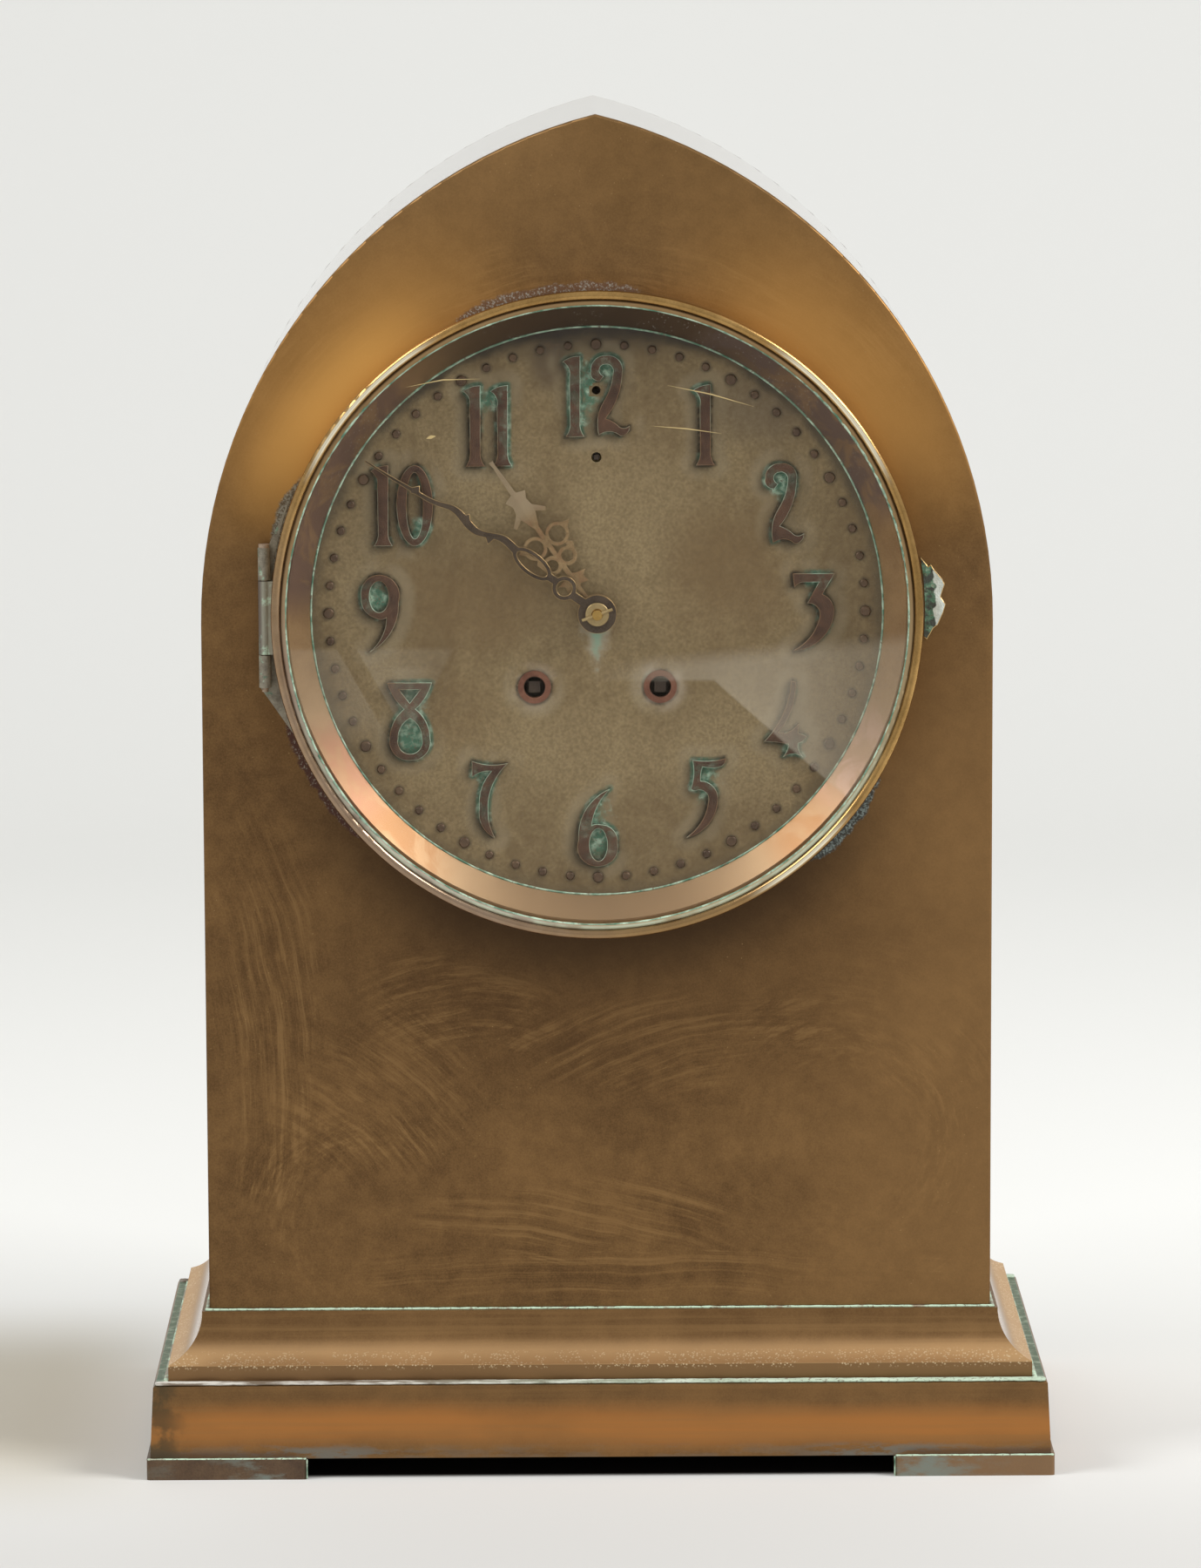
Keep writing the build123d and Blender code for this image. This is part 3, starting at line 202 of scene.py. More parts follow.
# %% Helpers: places on the clock
def apart(vector):
    """The three parts of a vector."""
    made = node_beside([vector], "ShaderNodeSeparateXYZ")
    feed(made.inputs[0], vector)
    return [Wire(made.outputs[axis]) for axis in "XYZ"]


def in_mm(place):
    """How far a place lies across, deep and high on the clock, in millimetres."""
    return [part * 1000.0 for part in apart(place)]


def length(aside, higher):
    """Length of a line that runs so far aside and so far up."""
    return calc("SQRT", aside * aside + higher * higher)


def oval(across, height, middle, size):
    """0 in the middle of an oval and 1 on its edge."""
    return length((across - middle[0]) / size[0], (height - middle[1]) / size[1])


# %% [markdown]
# Colours are written as they look on a screen and turned into the light values that nodes take.
# An effect that several finishes share is a node group, built once. Each finish then places the
# group with its own values, as a painter would reach for the same brush again.

# %% Helpers: colours, finishes and groups
FLOAT, VECTOR, COLOUR = "NodeSocketFloat", "NodeSocketVector", "NodeSocketColor"


def colour(red, green, blue):
    """A colour written in screen values from 0 to 255, as the linear values that a node takes."""
    linear = []
    for part in (red, green, blue):
        share = part / 255
        linear.append(share / 12.92 if share <= 0.04045 else ((share + 0.055) / 1.055) ** 2.4)
    return (*linear, 1)


print("middle grey on a screen is light of", round(colour(128, 128, 128)[0], 3))


def finish(name):
    """A new material, with the place on the object as a wire and the shader that its recipe fills."""
    material = bpy.data.materials.new(name)
    material.use_nodes = True
    tree = material.node_tree
    place = Wire(tree.nodes.new("ShaderNodeTexCoord").outputs["Object"])
    return material, place, tree.nodes["Principled BSDF"]


def group(name, inputs, *outputs):
    """A new node group: its tree, the wires of its inputs, and the node that takes its outputs.
    An input is given as a kind of socket, or as the number that it starts with."""
    tree = bpy.data.node_groups.new(name, "ShaderNodeTree")
    for title, given in inputs.items():
        kind = given if isinstance(given, str) else FLOAT
        socket = tree.interface.new_socket(title, in_out="INPUT", socket_type=kind)
        if kind == FLOAT:
            socket.default_value = given
    for title in outputs:
        kind = COLOUR if title == "Color" else FLOAT
        tree.interface.new_socket(title, in_out="OUTPUT", socket_type=kind)
    start = tree.nodes.new("NodeGroupInput")
    wires = {title: Wire(start.outputs[title]) for title in inputs}
    print("group:", name)
    return tree, wires, tree.nodes.new("NodeGroupOutput")


def use(made_group, **values):
    """Places a group, fills its inputs and gives its outputs by name."""
    made = node_beside(values.values(), "ShaderNodeGroup")
    made.node_tree = made_group
    fill(made, **values)
    return {output.name: Wire(output) for output in made.outputs}


# %% [markdown]
# Much of the ageing and of the painted shade on this clock follows the round dial: shade is painted close
# round the bezel and bloom runs round the glass. A group that turns a place into a radius from the dial's
# centre, in millimetres, with how far it lies across and above the centre, lets any finish draw rings.
# A second group masks a sector of such a ring, clockwise from the top.

# %% Shared effects: rings round the dial and their sectors
rings, given, end = group("Rings round the dial", {"Place": VECTOR}, "Radius", "Across", "Above")
across, depth, height = in_mm(given["Place"])
rise = height - dial_height / mm
radius = length(across, rise)
fill(end, Radius=radius, Across=across / radius, Above=rise / radius)

sector_inputs = {"Across": 0.0, "Above": 1.0, "Toward": 0.0, "Half": 10.0, "Soft": 8.0}
sector, given, end = group("Sector of a ring", sector_inputs, "Mask")
turn = calc("RADIANS", given["Toward"])
aligned = given["Across"] * calc("SINE", turn) + given["Above"] * calc("COSINE", turn)
off_line = calc("DEGREES", calc("ARCCOSINE", calc("MINIMUM", aligned, 0.99999)))
fill(end, Mask=ramp(off_line, given["Half"] + given["Soft"], given["Half"]))


def toward(ring, angle, half, soft=9.0):
    """A mask over the part of a ring that lies toward an angle, in degrees clockwise from the top."""
    made = use(sector, Across=ring["Across"], Above=ring["Above"], Toward=angle, Half=half, Soft=soft)
    return made["Mask"]


# %% [markdown]
# Old brass is wiped with a cloth over many years. The arm swings the cloth in arcs, so the strokes
# are fine lines bent round a far-off centre, and each swing left its own patch, both lighter and
# darker than the skin. Noise read along the radius and the angle from such a centre gives the arcs,
# and a ragged oval says where on the case that swing shows.

# %% Shared effect: strokes left by wiping
# Each swing: centre of its arcs, middle of its patch and half sizes of its patch, in millimetres.
swings = [((-60, -200), (-5, 71), (70, 15)),
          ((50, 8), (14, 122), (52, 19)),
          ((-118, 37), (-60, 108), (38, 32)),
          ((-250, 110), (-92, 128), (20, 70)),
          ((-35, 70), (-45, 132), (40, 20)),
          ((67, 92), (72, 100), (45, 55)),
          ((-62, 68), (-73, 74), (36, 30)),
          ((0, -900), (10, 55), (110, 9)),
          ((0, 242), (0, 305), (120, 55))]
strokes, given, end = group("Wiping strokes", {"Place": VECTOR}, "Strokes")
across, depth, height = in_mm(given["Place"])
wobble = noise(given["Place"], 30.0, 2.0) * 5.0
ragged = (noise(given["Place"], 45.0, 4.0, 0.65) - 0.5) * 1.6
lines_per_mm, breaks_per_radian = 0.46, 3.0
total = 0.0
for centre, middle, size in swings:
    aside = across - centre[0]
    higher = height - centre[1]
    outward = length(aside, higher) + wobble
    round_centre = calc("ARCTAN2", higher, aside)
    unrolled = strokes.nodes.new("ShaderNodeCombineXYZ")
    fill(unrolled, X=outward * lines_per_mm, Y=round_centre * breaks_per_radian, Z=centre[0])
    arcs = ramp(noise(Wire(unrolled.outputs[0]), 1.0, 5.0, 0.75), 0.36, 0.66, -0.5, 0.6)
    patch = ramp(oval(across, height, middle, size) + ragged, 1.05, 0.3)
    total = arcs * patch * ramp(outward, 14.0, 36.0) + total
fill(end, Strokes=total)

# %% [markdown]
# Specks are the pin-holes and dried droplets that dot the metal. A Voronoi pattern gives one point
# per cell, and a second, larger noise keeps the specks in loose clusters, as dirt really falls.

# %% Shared effect: clustered specks
speck_inputs = {"Place": VECTOR, "Scale": 300.0, "Size": 0.2, "Cluster": 40.0, "Share": 0.5}
specks, given, end = group("Clustered specks", speck_inputs, "Specks")
cells = specks.nodes.new("ShaderNodeTexVoronoi")
fill(cells, Vector=given["Place"], Scale=given["Scale"])
inside = calc("LESS_THAN", Wire(cells.outputs["Distance"]), given["Size"])
crowd = noise(given["Place"], given["Cluster"], 2.0)
fill(end, Specks=inside * calc("GREATER_THAN", crowd, given["Share"]))

# %% [markdown]
# Green bloom is what damp makes of copper alloys: a chalky crust between mint white and deep teal,
# dirtied with brown. The group gives its colour, so that crusts, numerals and seams all agree.

# %% Shared effect: colour of green bloom
bloom_inputs = {"Place": VECTOR, "Scale": 260.0, "Paleness": 0.5}
bloom, given, end = group("Green bloom", bloom_inputs, "Color", "Grain")
broad = noise(given["Place"], given["Scale"], 5.0, 0.65)
fine = noise(given["Place"], given["Scale"] * 4.0, 3.0)
pale = ramp(broad + given["Paleness"] - 0.5, 0.36, 0.62)
green = mix(pale, colour(82, 122, 98), colour(190, 214, 189))
fill(end, Color=mix(ramp(fine, 0.52, 0.72), green, colour(112, 104, 84)), Grain=fine)

# %% [markdown]
# The brown skin of the brass: two tones drift into each other in broad clouds, with a finer grain
# on top. One group serves the whole case, and each part of it chooses its own two tones.

# %% Shared effect: brown skin of old brass
skin_inputs = {"Place": VECTOR, "Dark": COLOUR, "Light": COLOUR, "Cloud": 26.0, "Wiped": 0.5}
skin, given, end = group("Brown brass skin", skin_inputs, "Color", "Roughness", "Height")
cloud = noise(given["Place"], given["Cloud"], 6.0, 0.62, 0.5)
middling = noise(given["Place"], 150.0, 4.0, 0.65)
grain = noise(given["Place"], 1900.0, 2.0, 0.7)
wiped = use(strokes, Place=given["Place"])["Strokes"]
swept = wiped * given["Wiped"]
tone = ramp(cloud, 0.3, 0.7) * 0.5 + ramp(middling, 0.32, 0.68) * 0.36 + (grain - 0.4) * 1.1 + swept
toned = mix(tone, given["Dark"], given["Light"])
rubbed = ramp(swept, 0.06, 0.4, 0.0, 0.6)
fill(end, Color=mix(rubbed, toned, colour(146, 113, 71)),
     Roughness=0.36 + cloud * 0.16 - rubbed * 0.08,
     Height=grain * 0.4 + wiped * 0.2)


def brown_skin(place, dark, light, cloud, wiped=0.0):
    """The skin between two colours. A higher cloud value makes its clouds smaller."""
    return use(skin, Place=place, Dark=colour(*dark), Light=colour(*light), Cloud=cloud, Wiped=wiped)


# %% [markdown]
# Damp stays in the corners of the numerals, and there the bloom is thickest. Each spot is a ragged
# oval on the dial, and the numerals and the dial read the same group, so their bloom runs together.

# %% Shared effect: damp spots on the dial
# Each spot: its middle and half sizes, in millimetres.
damp_ovals = [((-5, 305), (6, 16)), ((3, 311), (6, 6)), ((27, 304), (6, 5)), ((51, 278), (6, 6)),
              ((61, 252), (5, 4)), ((-30, 304), (11, 6)), ((-24, 293), (3, 12)), ((-48, 264), (5, 5)),
              ((-62, 246), (5, 5)), ((-50, 212), (9, 14)), ((-32, 192), (6, 10)), ((1, 183), (7, 12)),
              ((29, 196), (7, 8)), ((56, 203), (6, 5))]
damp_spots, given, end = group("Damp spots", {"Place": VECTOR}, "Mask")
across, depth, height = in_mm(given["Place"])
ragged = (noise(given["Place"], 200.0, 4.0, 0.65) - 0.5) * 1.6
wettest = 0.0
for middle, size in damp_ovals:
    wet = ramp(oval(across, height, middle, size) + ragged, 1.1, 0.5)
    wettest = calc("MAXIMUM", wet, wettest)
fill(end, Mask=wettest)

# %% [markdown]
# Where damp has run out under the bezel it stained the case. Each stain is a ragged band that starts
# at the bezel's foot and reaches furthest in the middle of its sector.

# %% Shared effect: stains round the bezel
bezel_foot = 90.3
stain_inputs = {"Place": VECTOR, "Outer": 93.0, "Toward": 0.0, "Half": 10.0, "Soft": 8.0}
stain, given, end = group("Stain along a ring", stain_inputs, "Mask")
ring = use(rings, Place=given["Place"])
share = toward(ring, given["Toward"], given["Half"], given["Soft"])
ragged = (noise(given["Place"], 300.0, 5.0, 0.7) - 0.5) * 3.6
reach = (given["Outer"] - bezel_foot) * share + bezel_foot
fill(end, Mask=ramp(ring["Radius"] + ragged - reach, 0.5, -0.5) * ramp(share, 0.02, 0.3))

# %% [markdown]
# The front of the case is one sheet of brass. A golden glow and a flare are painted on it as light from
# the bezel's edge, it is olive towards the point of the arch, it is darker below the dial, and painted
# shade of the bezel makes it darkest just below the bezel.
# Rings round the dial place these tones, and the wiping strokes come with the brown skin.
# The sides and the back are the same sheet without those marks, under a clear lacquer.

# %% Finish: case
def aged_and_lit_front(place, toned):
    """Golden shoulders of painted light, a darker part below the dial with painted shade just under the
    bezel, and stains at the bezel, over a toned sheet.
    """
    across, depth, height = in_mm(place)
    ring = use(rings, Place=place)
    radius, above, sides = ring["Radius"], ring["Above"], abs(ring["Across"])
    lower_right = ramp(across, 20.0, 105.0) * ramp(above, 0.3, -0.4)
    # The glow and the flare are painted light from the bezel's edge.
    painted_glow = ramp(radius, 136.0, 92.0) * ramp(above, 0.1, 0.55) * ramp(sides, 0.1, 0.6)
    painted_flare = toward(ring, 307.0, 10.0, 17.0) * ramp(radius, 110.0, 92.0, 0.0, 0.7)
    flank = ramp(sides, 0.8, 0.97) * ramp(radius, 106.0, 93.0)
    # Below the dial the sheet is darker, and just under the bezel painted shade of the bezel makes it
    # darkest.
    lower_darkening = ramp(radius, 165.0, 96.0, 0.0, 0.4) * ramp(above, -0.45, -0.95)
    bezel_shade = ramp(radius, 112.0, 91.0, 0.0, 0.75) * ramp(above, -0.3, -0.9)
    olive_top = ramp(height, 320.0, 365.0, 0.0, 0.4)
    layers = [(lower_right * 0.5, (150, 114, 70)), (painted_glow * 0.8, (194, 142, 74)), (painted_flare, (232, 172, 90)),
              (flank * 0.35, (88, 60, 28)), (olive_top, (144, 110, 66)), (lower_darkening, (72, 48, 24)),
              (bezel_shade, (58, 40, 21))]
    for mask, shade in layers:
        toned = mix(mask, toned, colour(*shade))
    fine = noise(place, 1500.0, 4.0, 0.75)
    blue = mix(ramp(fine, 0.46, 0.62), colour(62, 66, 64), colour(140, 154, 150))
    wine = mix(ramp(fine, 0.54, 0.64), colour(74, 48, 42), colour(142, 132, 118))
    rust = mix(ramp(fine, 0.5, 0.62), colour(118, 90, 70), colour(172, 172, 164))
    grey = mix(ramp(fine, 0.42, 0.6), colour(86, 78, 64), colour(144, 142, 128))
    # Each stain: its colour, how far out it reaches, its direction, its half width and its border.
    stains = [(blue, 93.6, 131.0, 4.0, 9.0), (wine, 92.9, 239.0, 8.0, 9.0),
              (rust, 91.8, 351.0, 11.0, 7.0), (grey, 93.0, 286.0, 2.0, 9.0)]
    for shade, outer, angle, half, soft in stains:
        mask = use(stain, Place=place, Outer=outer, Toward=angle, Half=half, Soft=soft)["Mask"]
        toned = mix(mask * 0.9, toned, shade)
    return toned


def case_finish(name, aged_and_lit):
    """Brown brass sheet with fine specks, aged and given painted light and shade as the front is, or
    lacquered as the sides are.
    """
    material, place, shader = finish(name)
    coat = brown_skin(place, (97, 70, 40), (134, 101, 61), 24.0, 0.58 if aged_and_lit else 0.3)
    toned = aged_and_lit_front(place, coat["Color"]) if aged_and_lit else coat["Color"]
    dots = use(specks, Place=place, Scale=420.0, Size=0.07, Cluster=18.0, Share=0.56)["Specks"]
    fill(shader, Base_Color=mix(dots * 0.4, toned, colour(176, 144, 96)),
         Roughness=coat["Roughness"] - (0.0 if aged_and_lit else 0.24),
         Normal=bump(coat["Height"], 0.2 if aged_and_lit else 0.05, 0.2 * mm),
         Metallic=0.75 if aged_and_lit else 1.0, Coat_Weight=0.0 if aged_and_lit else 1.0, Coat_Roughness=0.05)
    return material


case_front = case_finish("case_front_brass", True)
case_plain = case_finish("case_plain_brass", False)
print("finishes:", case_front.name, case_plain.name)

# %% [markdown]
# Most of the other metals differ only in their two tones, their gloss and how bright they are.
# One recipe makes them all: the brown skin group, with an optional film of green bloom in patches
# anywhere, or in the damp spots of the dial.

# %% Finishes: trim, dial and movement metals
def metal_finish(name, dark, light, metallic, cloud, rough, green=0.0, wet=0.0):
    """A metal between two tones, with a share of green bloom in patches and one in the damp spots."""
    material, place, shader = finish(name)
    coat = brown_skin(place, dark, light, cloud)
    toned = coat["Color"]
    if green:
        film = use(bloom, Place=place, Scale=420.0, Paleness=0.45)
        where = noise(place, 320.0, 4.0, 0.65)
        toned = mix(ramp(where, 0.66 - 0.3 * green, 0.76 - 0.3 * green), toned, film["Color"])
    if wet:
        film = use(bloom, Place=place, Scale=420.0, Paleness=0.4)
        patches = ramp(noise(place, 380.0, 4.0, 0.65), 0.42, 0.58)
        spots = use(damp_spots, Place=place)["Mask"]
        toned = mix(spots * patches * wet, toned, film["Color"])
    fill(shader, Base_Color=toned, Roughness=coat["Roughness"] + (rough - 0.44),
         Normal=bump(coat["Height"], 0.2, 0.2 * mm), Metallic=metallic)
    return material


# Each metal: its darker and lighter tone, how metallic it is, its clouds and its roughness.
worn_brass = metal_finish("worn_brass_edge", (176, 140, 84), (214, 182, 124), 0.85, 60.0, 0.32)
cream_edge = metal_finish("cream_worn_edge", (206, 178, 128), (240, 220, 180), 0.8, 60.0, 0.3)
numeral_bronze = metal_finish("numeral_red_bronze", (55, 37, 26), (98, 70, 51), 0.35, 210.0, 0.46,
                              wet=0.22)
# The numeral walls are dark with painted shade, with bloom in the damp spots.
shaded_numeral_wall = metal_finish("numeral_wall_shade_and_bloom", (44, 35, 26), (68, 55, 40), 0.3, 160.0, 0.6,
                            green=0.3, wet=0.9)
stud_bronze = metal_finish("stud_bronze", (70, 54, 42), (104, 82, 61), 0.5, 150.0, 0.4)
minute_bronze = metal_finish("minute_hand_bronze", (58, 47, 38), (90, 76, 61), 0.6, 110.0, 0.42)
washer_brass = metal_finish("washer_brass", (154, 132, 90), (184, 162, 118), 0.8, 160.0, 0.34)
collar_copper = metal_finish("collar_copper", (98, 60, 46), (136, 94, 74), 0.6, 180.0, 0.42)
arbor_dark = metal_finish("arbor_dark_steel", (46, 36, 29), (70, 57, 46), 0.5, 180.0, 0.5)
leaf_grey = metal_finish("hinge_leaf_grey", (104, 96, 82), (156, 150, 132), 0.3, 300.0, 0.6, green=0.3)
pin_pink = metal_finish("hinge_pin_pink", (134, 112, 92), (178, 158, 136), 0.4, 220.0, 0.5, green=0.1)
steel = metal_finish("steel_parts", (112, 112, 110), (160, 160, 156), 1.0, 80.0, 0.36)
movement_brass = metal_finish("movement_brass", (168, 132, 70), (204, 170, 102), 1.0, 50.0, 0.32)
bell_bronze = metal_finish("bell_bronze", (146, 110, 70), (190, 156, 108), 1.0, 40.0, 0.3)
print("materials so far, with those of the frame:", len(bpy.data.materials))

# %% [markdown]
# Three small parts need a recipe of their own. The rounded edge of a numeral is worn brass where it
# is dry and bloom where it is damp. The hour hand is brown with redder patches, and silvery at its tip.
# The hinge barrel has a chalky skin drawn out along its length and a shadowed outer side.

# %% Finishes: numeral edge, hour hand and hinge barrel
numeral_edge, place, shader = finish("numeral_edge_bloom")
film = use(bloom, Place=place, Scale=620.0, Paleness=0.75)
dry = ramp(noise(place, 62.0, 4.0), 0.5, 0.58, 0.0, 0.45)
where = calc("MAXIMUM", dry, use(damp_spots, Place=place)["Mask"])
fill(shader, Base_Color=mix(where, colour(150, 116, 78), film["Color"]), Roughness=0.4, Metallic=0.2)

hour_brass, place, shader = finish("hour_hand_brass")
ring = use(rings, Place=place)
coat = brown_skin(place, (116, 92, 62), (160, 134, 96), 140.0)
redder = mix(ramp(noise(place, 240.0, 3.0), 0.5, 0.62, 0.0, 0.4), coat["Color"], colour(136, 98, 68))
silvered = mix(ramp(ring["Radius"], 30.0, 36.0, 0.0, 0.7), redder, colour(158, 142, 116))
fill(shader, Base_Color=silvered, Roughness=coat["Roughness"], Metallic=0.6)

hinge_grey, place, shader = finish("hinge_barrel_bloom")
across, depth, height = in_mm(place)
film = use(bloom, Place=place, Scale=500.0, Paleness=0.6)
drawn_out = noise(stretched(place, (900, 900, 160)), 1.0, 4.0)
clouded = mix(drawn_out, colour(116, 112, 96), colour(172, 172, 154))
greened = mix(ramp(noise(place, 260.0, 4.0), 0.52, 0.62, 0.0, 0.8), clouded, film["Color"])
shadowed = mix(ramp(across, -92.4, -93.5, 0.0, 0.8), greened, colour(82, 66, 60))
fill(shader, Base_Color=shadowed, Normal=bump(film["Grain"], 0.3, 0.3 * mm), Roughness=0.6, Metallic=0.2)
print("own recipes:", numeral_edge.name, hour_brass.name, hinge_grey.name)

# %% [markdown]
# The base is three steps of the same brass, but each has aged in its own way: the cove is streaked
# along its length and dotted with dried drops low down, and the feet are dull with grey green smears.
# Height on the object places these bands, because the mouldings run level all round.

# %% Finishes: cove and feet
def long_streaks(place, fine):
    """Streaks along the length of a moulding."""
    return ramp(noise(stretched(place, (9, fine, fine)), 1.0, 4.0, 0.6), 0.42, 0.68)


def end_faces(place):
    """A mask over the end faces. They are smoother, so that they mirror the paper when seen aslant."""
    normal = Wire(node_beside([place], "ShaderNodeTexCoord").outputs["Normal"])
    return ramp(abs(apart(normal)[0]), 0.6, 0.95)


def base_shader(shader, place, coat, toned, metallic):
    """Fills a shader for a step of the base: smoother ends and the skin's fine bumps."""
    fill(shader, Base_Color=toned, Roughness=coat["Roughness"] - end_faces(place) * 0.26,
         Normal=bump(coat["Height"], 0.2, 0.2 * mm), Metallic=metallic)


cove_brass, place, shader = finish("cove_brass")
across, depth, height = in_mm(place)
coat = brown_skin(place, (108, 79, 48), (132, 100, 63), 30.0)
streaky = mix(long_streaks(place, 420) * 0.5, coat["Color"], colour(150, 116, 74))
# A painted highlight brightens the lower slope of the cove, and painted shade darkens the fillet below
# it.
painted_highlight_band = mix(ramp(height, 38.0, 31.8, 0.0, 0.9), streaky, colour(216, 175, 125))
painted_shade_band = mix(ramp(height, 31.4, 31.0, 0.0, 0.8), painted_highlight_band, colour(112, 83, 53))
drops = use(specks, Place=place, Scale=1300.0, Size=0.33, Cluster=120.0, Share=0.44)["Specks"]
dotted = mix(drops * band(height, 31.4, 32.8, 1.8) * 0.7, painted_shade_band, colour(240, 218, 178))
# The end faces are painted pale as a reflection of the paper.
paper_reflection_ends = mix(end_faces(place) * 0.92, dotted, colour(218, 206, 197))
base_shader(shader, place, coat, paper_reflection_ends, 0.85)

foot_brass, place, shader = finish("foot_dull_brass")
across, depth, height = in_mm(place)
coat = brown_skin(place, (80, 62, 49), (110, 88, 66), 60.0)
warmer = mix(ramp(across, -60.0, 130.0, 0.0, 0.7), coat["Color"], colour(148, 116, 82))
patchy = ramp(noise(stretched(place, (60, 60, 160)), 1.0, 5.0, 0.65), 0.46, 0.62)
smeared = patchy * ramp(abs(across), 112.0, 92.0, 0.25, 1.0) * 0.8
base_shader(shader, place, coat, mix(smeared, warmer, colour(128, 140, 132)), 0.6)
print("finishes:", cove_brass.name, foot_brass.name)

# %% [markdown]
# The plinth glows orange in a wandering band along its middle. Above the feet it is blotched with
# grey, a dark patch lies at its front left corner, and bloom lies on the ends of its ledge.

# %% Finish: plinth
plinth_brass, place, shader = finish("plinth_brass")
across, depth, height = in_mm(place)
coat = brown_skin(place, (108, 80, 49), (134, 100, 61), 30.0)
wander = height + (noise(stretched(place, (12, 30, 30)), 1.0, 4.0) - 0.5) * 7.0
uneven = ramp(noise(stretched(place, (16, 16, 40)), 1.0, 4.0), 0.3, 0.6, 0.55, 1.0)
orange = mix(band(wander, 13.5, 15.5, 7.5) * uneven, coat["Color"], colour(176, 118, 62))
streaky = mix(long_streaks(place, 500) * 0.3, orange, colour(146, 112, 70))
blotched = ramp(noise(stretched(place, (60, 60, 330)), 1.0, 6.0, 0.75), 0.46, 0.56)
over_foot = ramp(abs(abs(across) - 80.0), 30.0, 6.0, 0.3, 1.0) * ramp(height, 10.5, 7.5)
greyed = mix(over_foot * blotched * 0.8, streaky, colour(120, 120, 112))
# Painted shade darkens the plinth low down, over the feet.
shade_over_feet = ramp(abs(across), 80.0, 90.0) * ramp(height, 8.6, 6.6)
shaded = mix(shade_over_feet * 0.6, greyed, colour(86, 66, 56))
at_end = ramp(across, -114.0, -123.0) * ramp(depth, -54.0, -63.0)
end_patch = at_end * ramp(noise(place, 120.0, 5.0), 0.42, 0.56)
patched = mix(end_patch * 0.7, shaded, colour(74, 66, 48))
film = use(bloom, Place=place, Scale=300.0, Paleness=0.4)
ledge = ramp(height, 26.5, 26.7) * ramp(abs(across), 119.5, 121.5)
base_shader(shader, place, coat, mix(ledge * 0.75, patched, film["Color"]), 0.8)
print("finish:", plinth_brass.name)

# %% [markdown]
# The bezel is a turned ring: a bright bead outside and a flatter rim inside that has gone pink and mauve,
# with a broken mint line low down. Painted shade darkens the groove between them, most at the top, and
# highlights are painted on the bead. The radius parts the bead from the rim, and sectors of the ring
# place the mauve and the painted highlights.

# %% Finish: bezel
bezel_brass, place, shader = finish("bezel_brass")
ring = use(rings, Place=place)
radius = ring["Radius"]
coat = brown_skin(place, (152, 118, 68), (190, 152, 94), 70.0)
low_half = ramp(ring["Above"], 0.25, -0.4)
leftward = toward(ring, 232.0, 30.0, 35.0)
mauve = mix(noise(place, 200.0, 4.0), colour(134, 112, 98), colour(182, 164, 150))
bead = mix(toward(ring, 190.0, 35.0, 40.0) * 0.6, coat["Color"], colour(150, 122, 88))
bead = mix(leftward * 0.6, bead, mauve)
rim_tone = mix(low_half, colour(142, 114, 76), mix(leftward, colour(164, 146, 112), mauve))
rim = ramp(radius + noise(place, 120.0) * 0.5, 88.3, 87.7)
toned = mix(rim * 0.9, bead, rim_tone)
# Painted shade darkens the groove, most on the upper half of the ring.
groove_shade = band(radius, 87.5, 87.8, 0.4) * ramp(low_half, 0.0, 1.0, 0.5, 0.05)
toned = mix(groove_shade, toned, colour(78, 58, 36))
mint_line = band(radius, 86.8, 87.4, 0.4) * toward(ring, 182.0, 48.0, 30.0)
broken = ramp(noise(place, 90.0, 4.0), 0.36, 0.56, 0.15, 0.75)
toned = mix(mint_line * broken, toned, colour(206, 218, 192))
# Painted highlights lie on the crest of the bead.
crest = band(radius, 88.7, 89.2, 0.5)
painted_highlights = [(49.0, 9.0), (313.0, 10.0), (140.0, 4.0)]
for angle, half in painted_highlights:
    toned = mix(toward(ring, angle, half) * crest, toned, colour(255, 246, 218))
fill(shader, Base_Color=toned, Roughness=0.2 + rim * 0.26, Metallic=0.95 - rim * 0.5,
     Normal=bump(coat["Height"], 0.1, 0.2 * mm))
print("finish:", bezel_brass.name)

# %% [markdown]
# The reveal behind the glass is a copper brown cone. Painted shade darkens its top under the bezel,
# painted light makes it paler below, and painted glints lie low on both sides. Heat and polish have left
# it mauve in places, and fine dust lies on its upper half.

# %% Finish: reveal
reveal_copper, place, shader = finish("reveal_copper_brown")
ring = use(rings, Place=place)
coat = brown_skin(place, (144, 114, 80), (176, 144, 104), 34.0)
# Painted shade under the bezel darkens the top of the cone.
toned = mix(ramp(ring["Above"], 0.7, 0.99), coat["Color"], colour(88, 70, 54))
# Painted light makes the lower part of the cone paler.
toned = mix(ramp(ring["Above"], 0.1, -0.6, 0.0, 0.8), toned, colour(170, 141, 108))
cloudy = ramp(noise(place, 90.0, 4.0, 0.6, 0.8), 0.35, 0.6)
patchy = ramp(cloudy, 0.0, 1.0, 0.35, 0.9)
